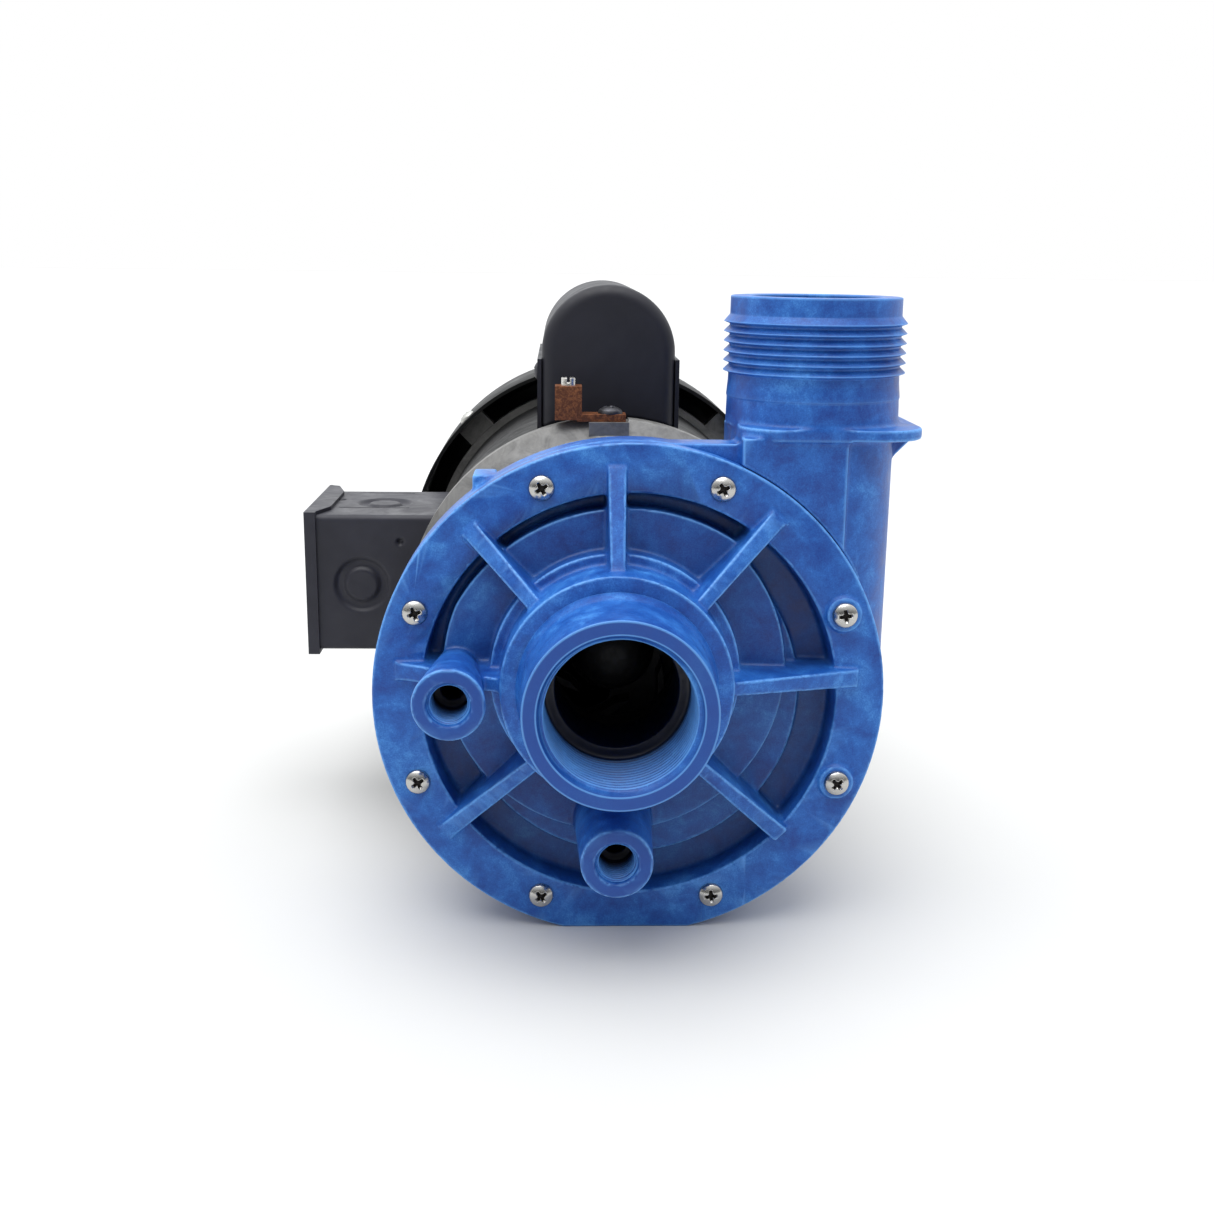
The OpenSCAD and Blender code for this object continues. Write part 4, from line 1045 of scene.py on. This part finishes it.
FINISHES = (
    # node, material, width of its rounded edges in millimetres
    ("face_o_ring", RUBBER, 0), ("wear_ring", STAINLESS, 0.25), ("impeller", IMPELLER, 0.4),
    ("impeller_shroud", IMPELLER, 0.4), ("impeller_insert", BRASS, 0.3),
    ("seal_seat", CERAMIC, 0.3), ("seal_seat_cup", RUBBER, 0.4), ("seal_face_ring", CARBON, 0.2),
    ("seal_bellows", RUBBER, 0.3), ("seal_spring", STAINLESS, 0), ("volute_bolts", STAINLESS, 0.3),
    ("shaft_slinger", RUBBER, 0.2), ("front_bracket", CAST, 0.7), ("bonding_lug", COPPER, 0.45),
    ("lug_set_screw", STAINLESS, 0.3), ("motor_shaft", BRIGHT_STEEL, 0.3),
    ("front_bearing_outer", BRIGHT_STEEL, 0.5), ("front_bearing_inner", BRIGHT_STEEL, 0.5),
    ("front_bearing_balls", BRIGHT_STEEL, 0), ("motor_shell", BLACK_PAINT, 0.4),
    ("stator_core", STACK, 0), ("stator_windings", WIRE, 1.2), ("rotor_core", STACK, 0.3),
    ("rotor_cage", CAST, 0.5), ("rear_bracket", CAST, 0.7),
    ("rear_bearing_outer", BRIGHT_STEEL, 0.5), ("rear_bearing_inner", BRIGHT_STEEL, 0.5),
    ("rear_bearing_balls", BRIGHT_STEEL, 0), ("wave_washer", STAINLESS, 0.1),
    ("governor_base", ZINC, 0.25), ("governor_pins", BRIGHT_STEEL, 0.2),
    ("governor_collar", RED_PLASTIC, 0.3), ("governor_weight_upper", ZINC, 0.4),
    ("governor_weight_lower", ZINC, 0.4), ("switch_board", BOARD, 0.2),
    ("cooling_fan", BLACK_PLASTIC, 0.4), ("fan_clip", STAINLESS, 0.2),
    ("fan_cover", FAN_PAINT, 0.5), ("through_bolts", ZINC, 0.3),
    ("capacitor_saddle", CHARCOAL, 0.6), ("start_capacitor", BLACK_PLASTIC, 0.6),
    ("capacitor_terminals", BRASS, 0.12), ("conduit_lid", BOX_PAINT, 1.1),
    ("lead_grommet", RUBBER, 0.4), ("terminal_board", BOARD, 0.3), ("terminal_studs", BRASS, 0.3),
    ("ground_screw", GREEN, 0.3), ("motor_base", BLACK_PAINT, 0.9),
)


# -------- stage

def camera():
    """The photograph's viewpoint: a little above the shaft, turned slightly to the right."""
    place_m, lens_mm = (-0.0188, -0.5903, 0.2239), 43.01
    yaw, down, roll = math.radians(2.02), math.radians(13.74), math.radians(0.69)
    look = Vector((math.sin(yaw) * math.cos(down), math.cos(yaw) * math.cos(down), -math.sin(down)))
    level = Vector((math.cos(yaw), -math.sin(yaw), 0))
    upright = level.cross(look)
    right = level * math.cos(roll) + upright * math.sin(roll)
    up = upright * math.cos(roll) - level * math.sin(roll)
    data = bpy.data.cameras.new("photo_camera")
    data.sensor_width = 36
    data.lens = lens_mm
    data.clip_end = 60
    view = linked("photo_camera", data)
    turn = Matrix((right, up, -look)).transposed().to_4x4()
    view.matrix_world = Matrix.Translation(place_m) @ turn
    bpy.context.scene.camera = view


def overhead_light():
    """Very soft light from nearly straight above."""
    data = bpy.data.lights.new("overhead_softbox", "SUN")
    data.energy = 2.2
    data.angle = math.radians(60)
    light = linked("overhead_softbox", data)
    light.rotation_mode = "QUATERNION"
    light.rotation_quaternion = Vector((0.14, 0.16, -0.97)).to_track_quat("-Z", "Y")


def white_room():
    """White world that lights the pump from above and behind more than from the front."""
    bright_side, front_glow, back_glow = (0.0, 0.42, 0.91), 0.08, 1.35
    fade_start, fade_end = -0.35, 0.75
    bpy.context.scene.view_settings.view_transform = "Standard"
    world = bpy.data.worlds.new("studio_white")
    bpy.context.scene.world = world
    world.use_nodes = True
    tree = world.node_tree
    tree.nodes.clear()
    new, link = tree.nodes.new, tree.links.new
    output = new("ShaderNodeOutputWorld")
    path = new("ShaderNodeLightPath")
    seen = new("ShaderNodeBackground")
    seen.inputs["Color"].default_value = (1, 1, 1, 1)
    ambient = new("ShaderNodeBackground")
    ambient.inputs["Color"].default_value = (0.97, 0.985, 1.0, 1)
    direction = new("ShaderNodeTexCoord")
    towards = new("ShaderNodeVectorMath")
    towards.operation = "DOT_PRODUCT"
    towards.inputs[1].default_value = bright_side
    link(direction.outputs["Generated"], towards.inputs[0])
    fade = new("ShaderNodeMapRange")
    fade.interpolation_type = "SMOOTHSTEP"
    for socket, amount in zip(("From Min", "From Max", "To Min", "To Max"),
                              (fade_start, fade_end, front_glow, back_glow)):
        fade.inputs[socket].default_value = amount
    link(towards.outputs["Value"], fade.inputs["Value"])
    link(fade.outputs["Result"], ambient.inputs["Strength"])
    mixed = new("ShaderNodeMixShader")
    link(path.outputs["Is Camera Ray"], mixed.inputs[0])
    link(ambient.outputs[0], mixed.inputs[1])
    link(seen.outputs[0], mixed.inputs[2])
    link(mixed.outputs[0], output.inputs[0])


def studio_floor():
    """Square of pale paper at the height of the foot's underside."""
    half, cells = 14.0, 8
    steps = np.linspace(-half, half, cells + 1)
    points = [((x - ORIGIN[0]) / MM, (y - ORIGIN[1]) / MM, (cad_box[0].z - ORIGIN[2]) / MM)
              for y in steps for x in steps]
    row = cells + 1
    faces = [(j * row + i, j * row + i + 1, (j + 1) * row + i + 1, (j + 1) * row + i)
             for j in range(cells) for i in range(cells)]
    mesh_object("studio_floor", points, faces, PAPER)


# -------- assembly

camera()
white_room()
overhead_light()
studio_floor()
for node, material, edge in FINISHES:
    dress(node, material, edge)
face_plate()
volute()
face_screws()
fan_cover_screws()
capacitor_cover_screws()
conduit_lid_screws()
lug_screw()
capacitor_cover()
conduit_box()
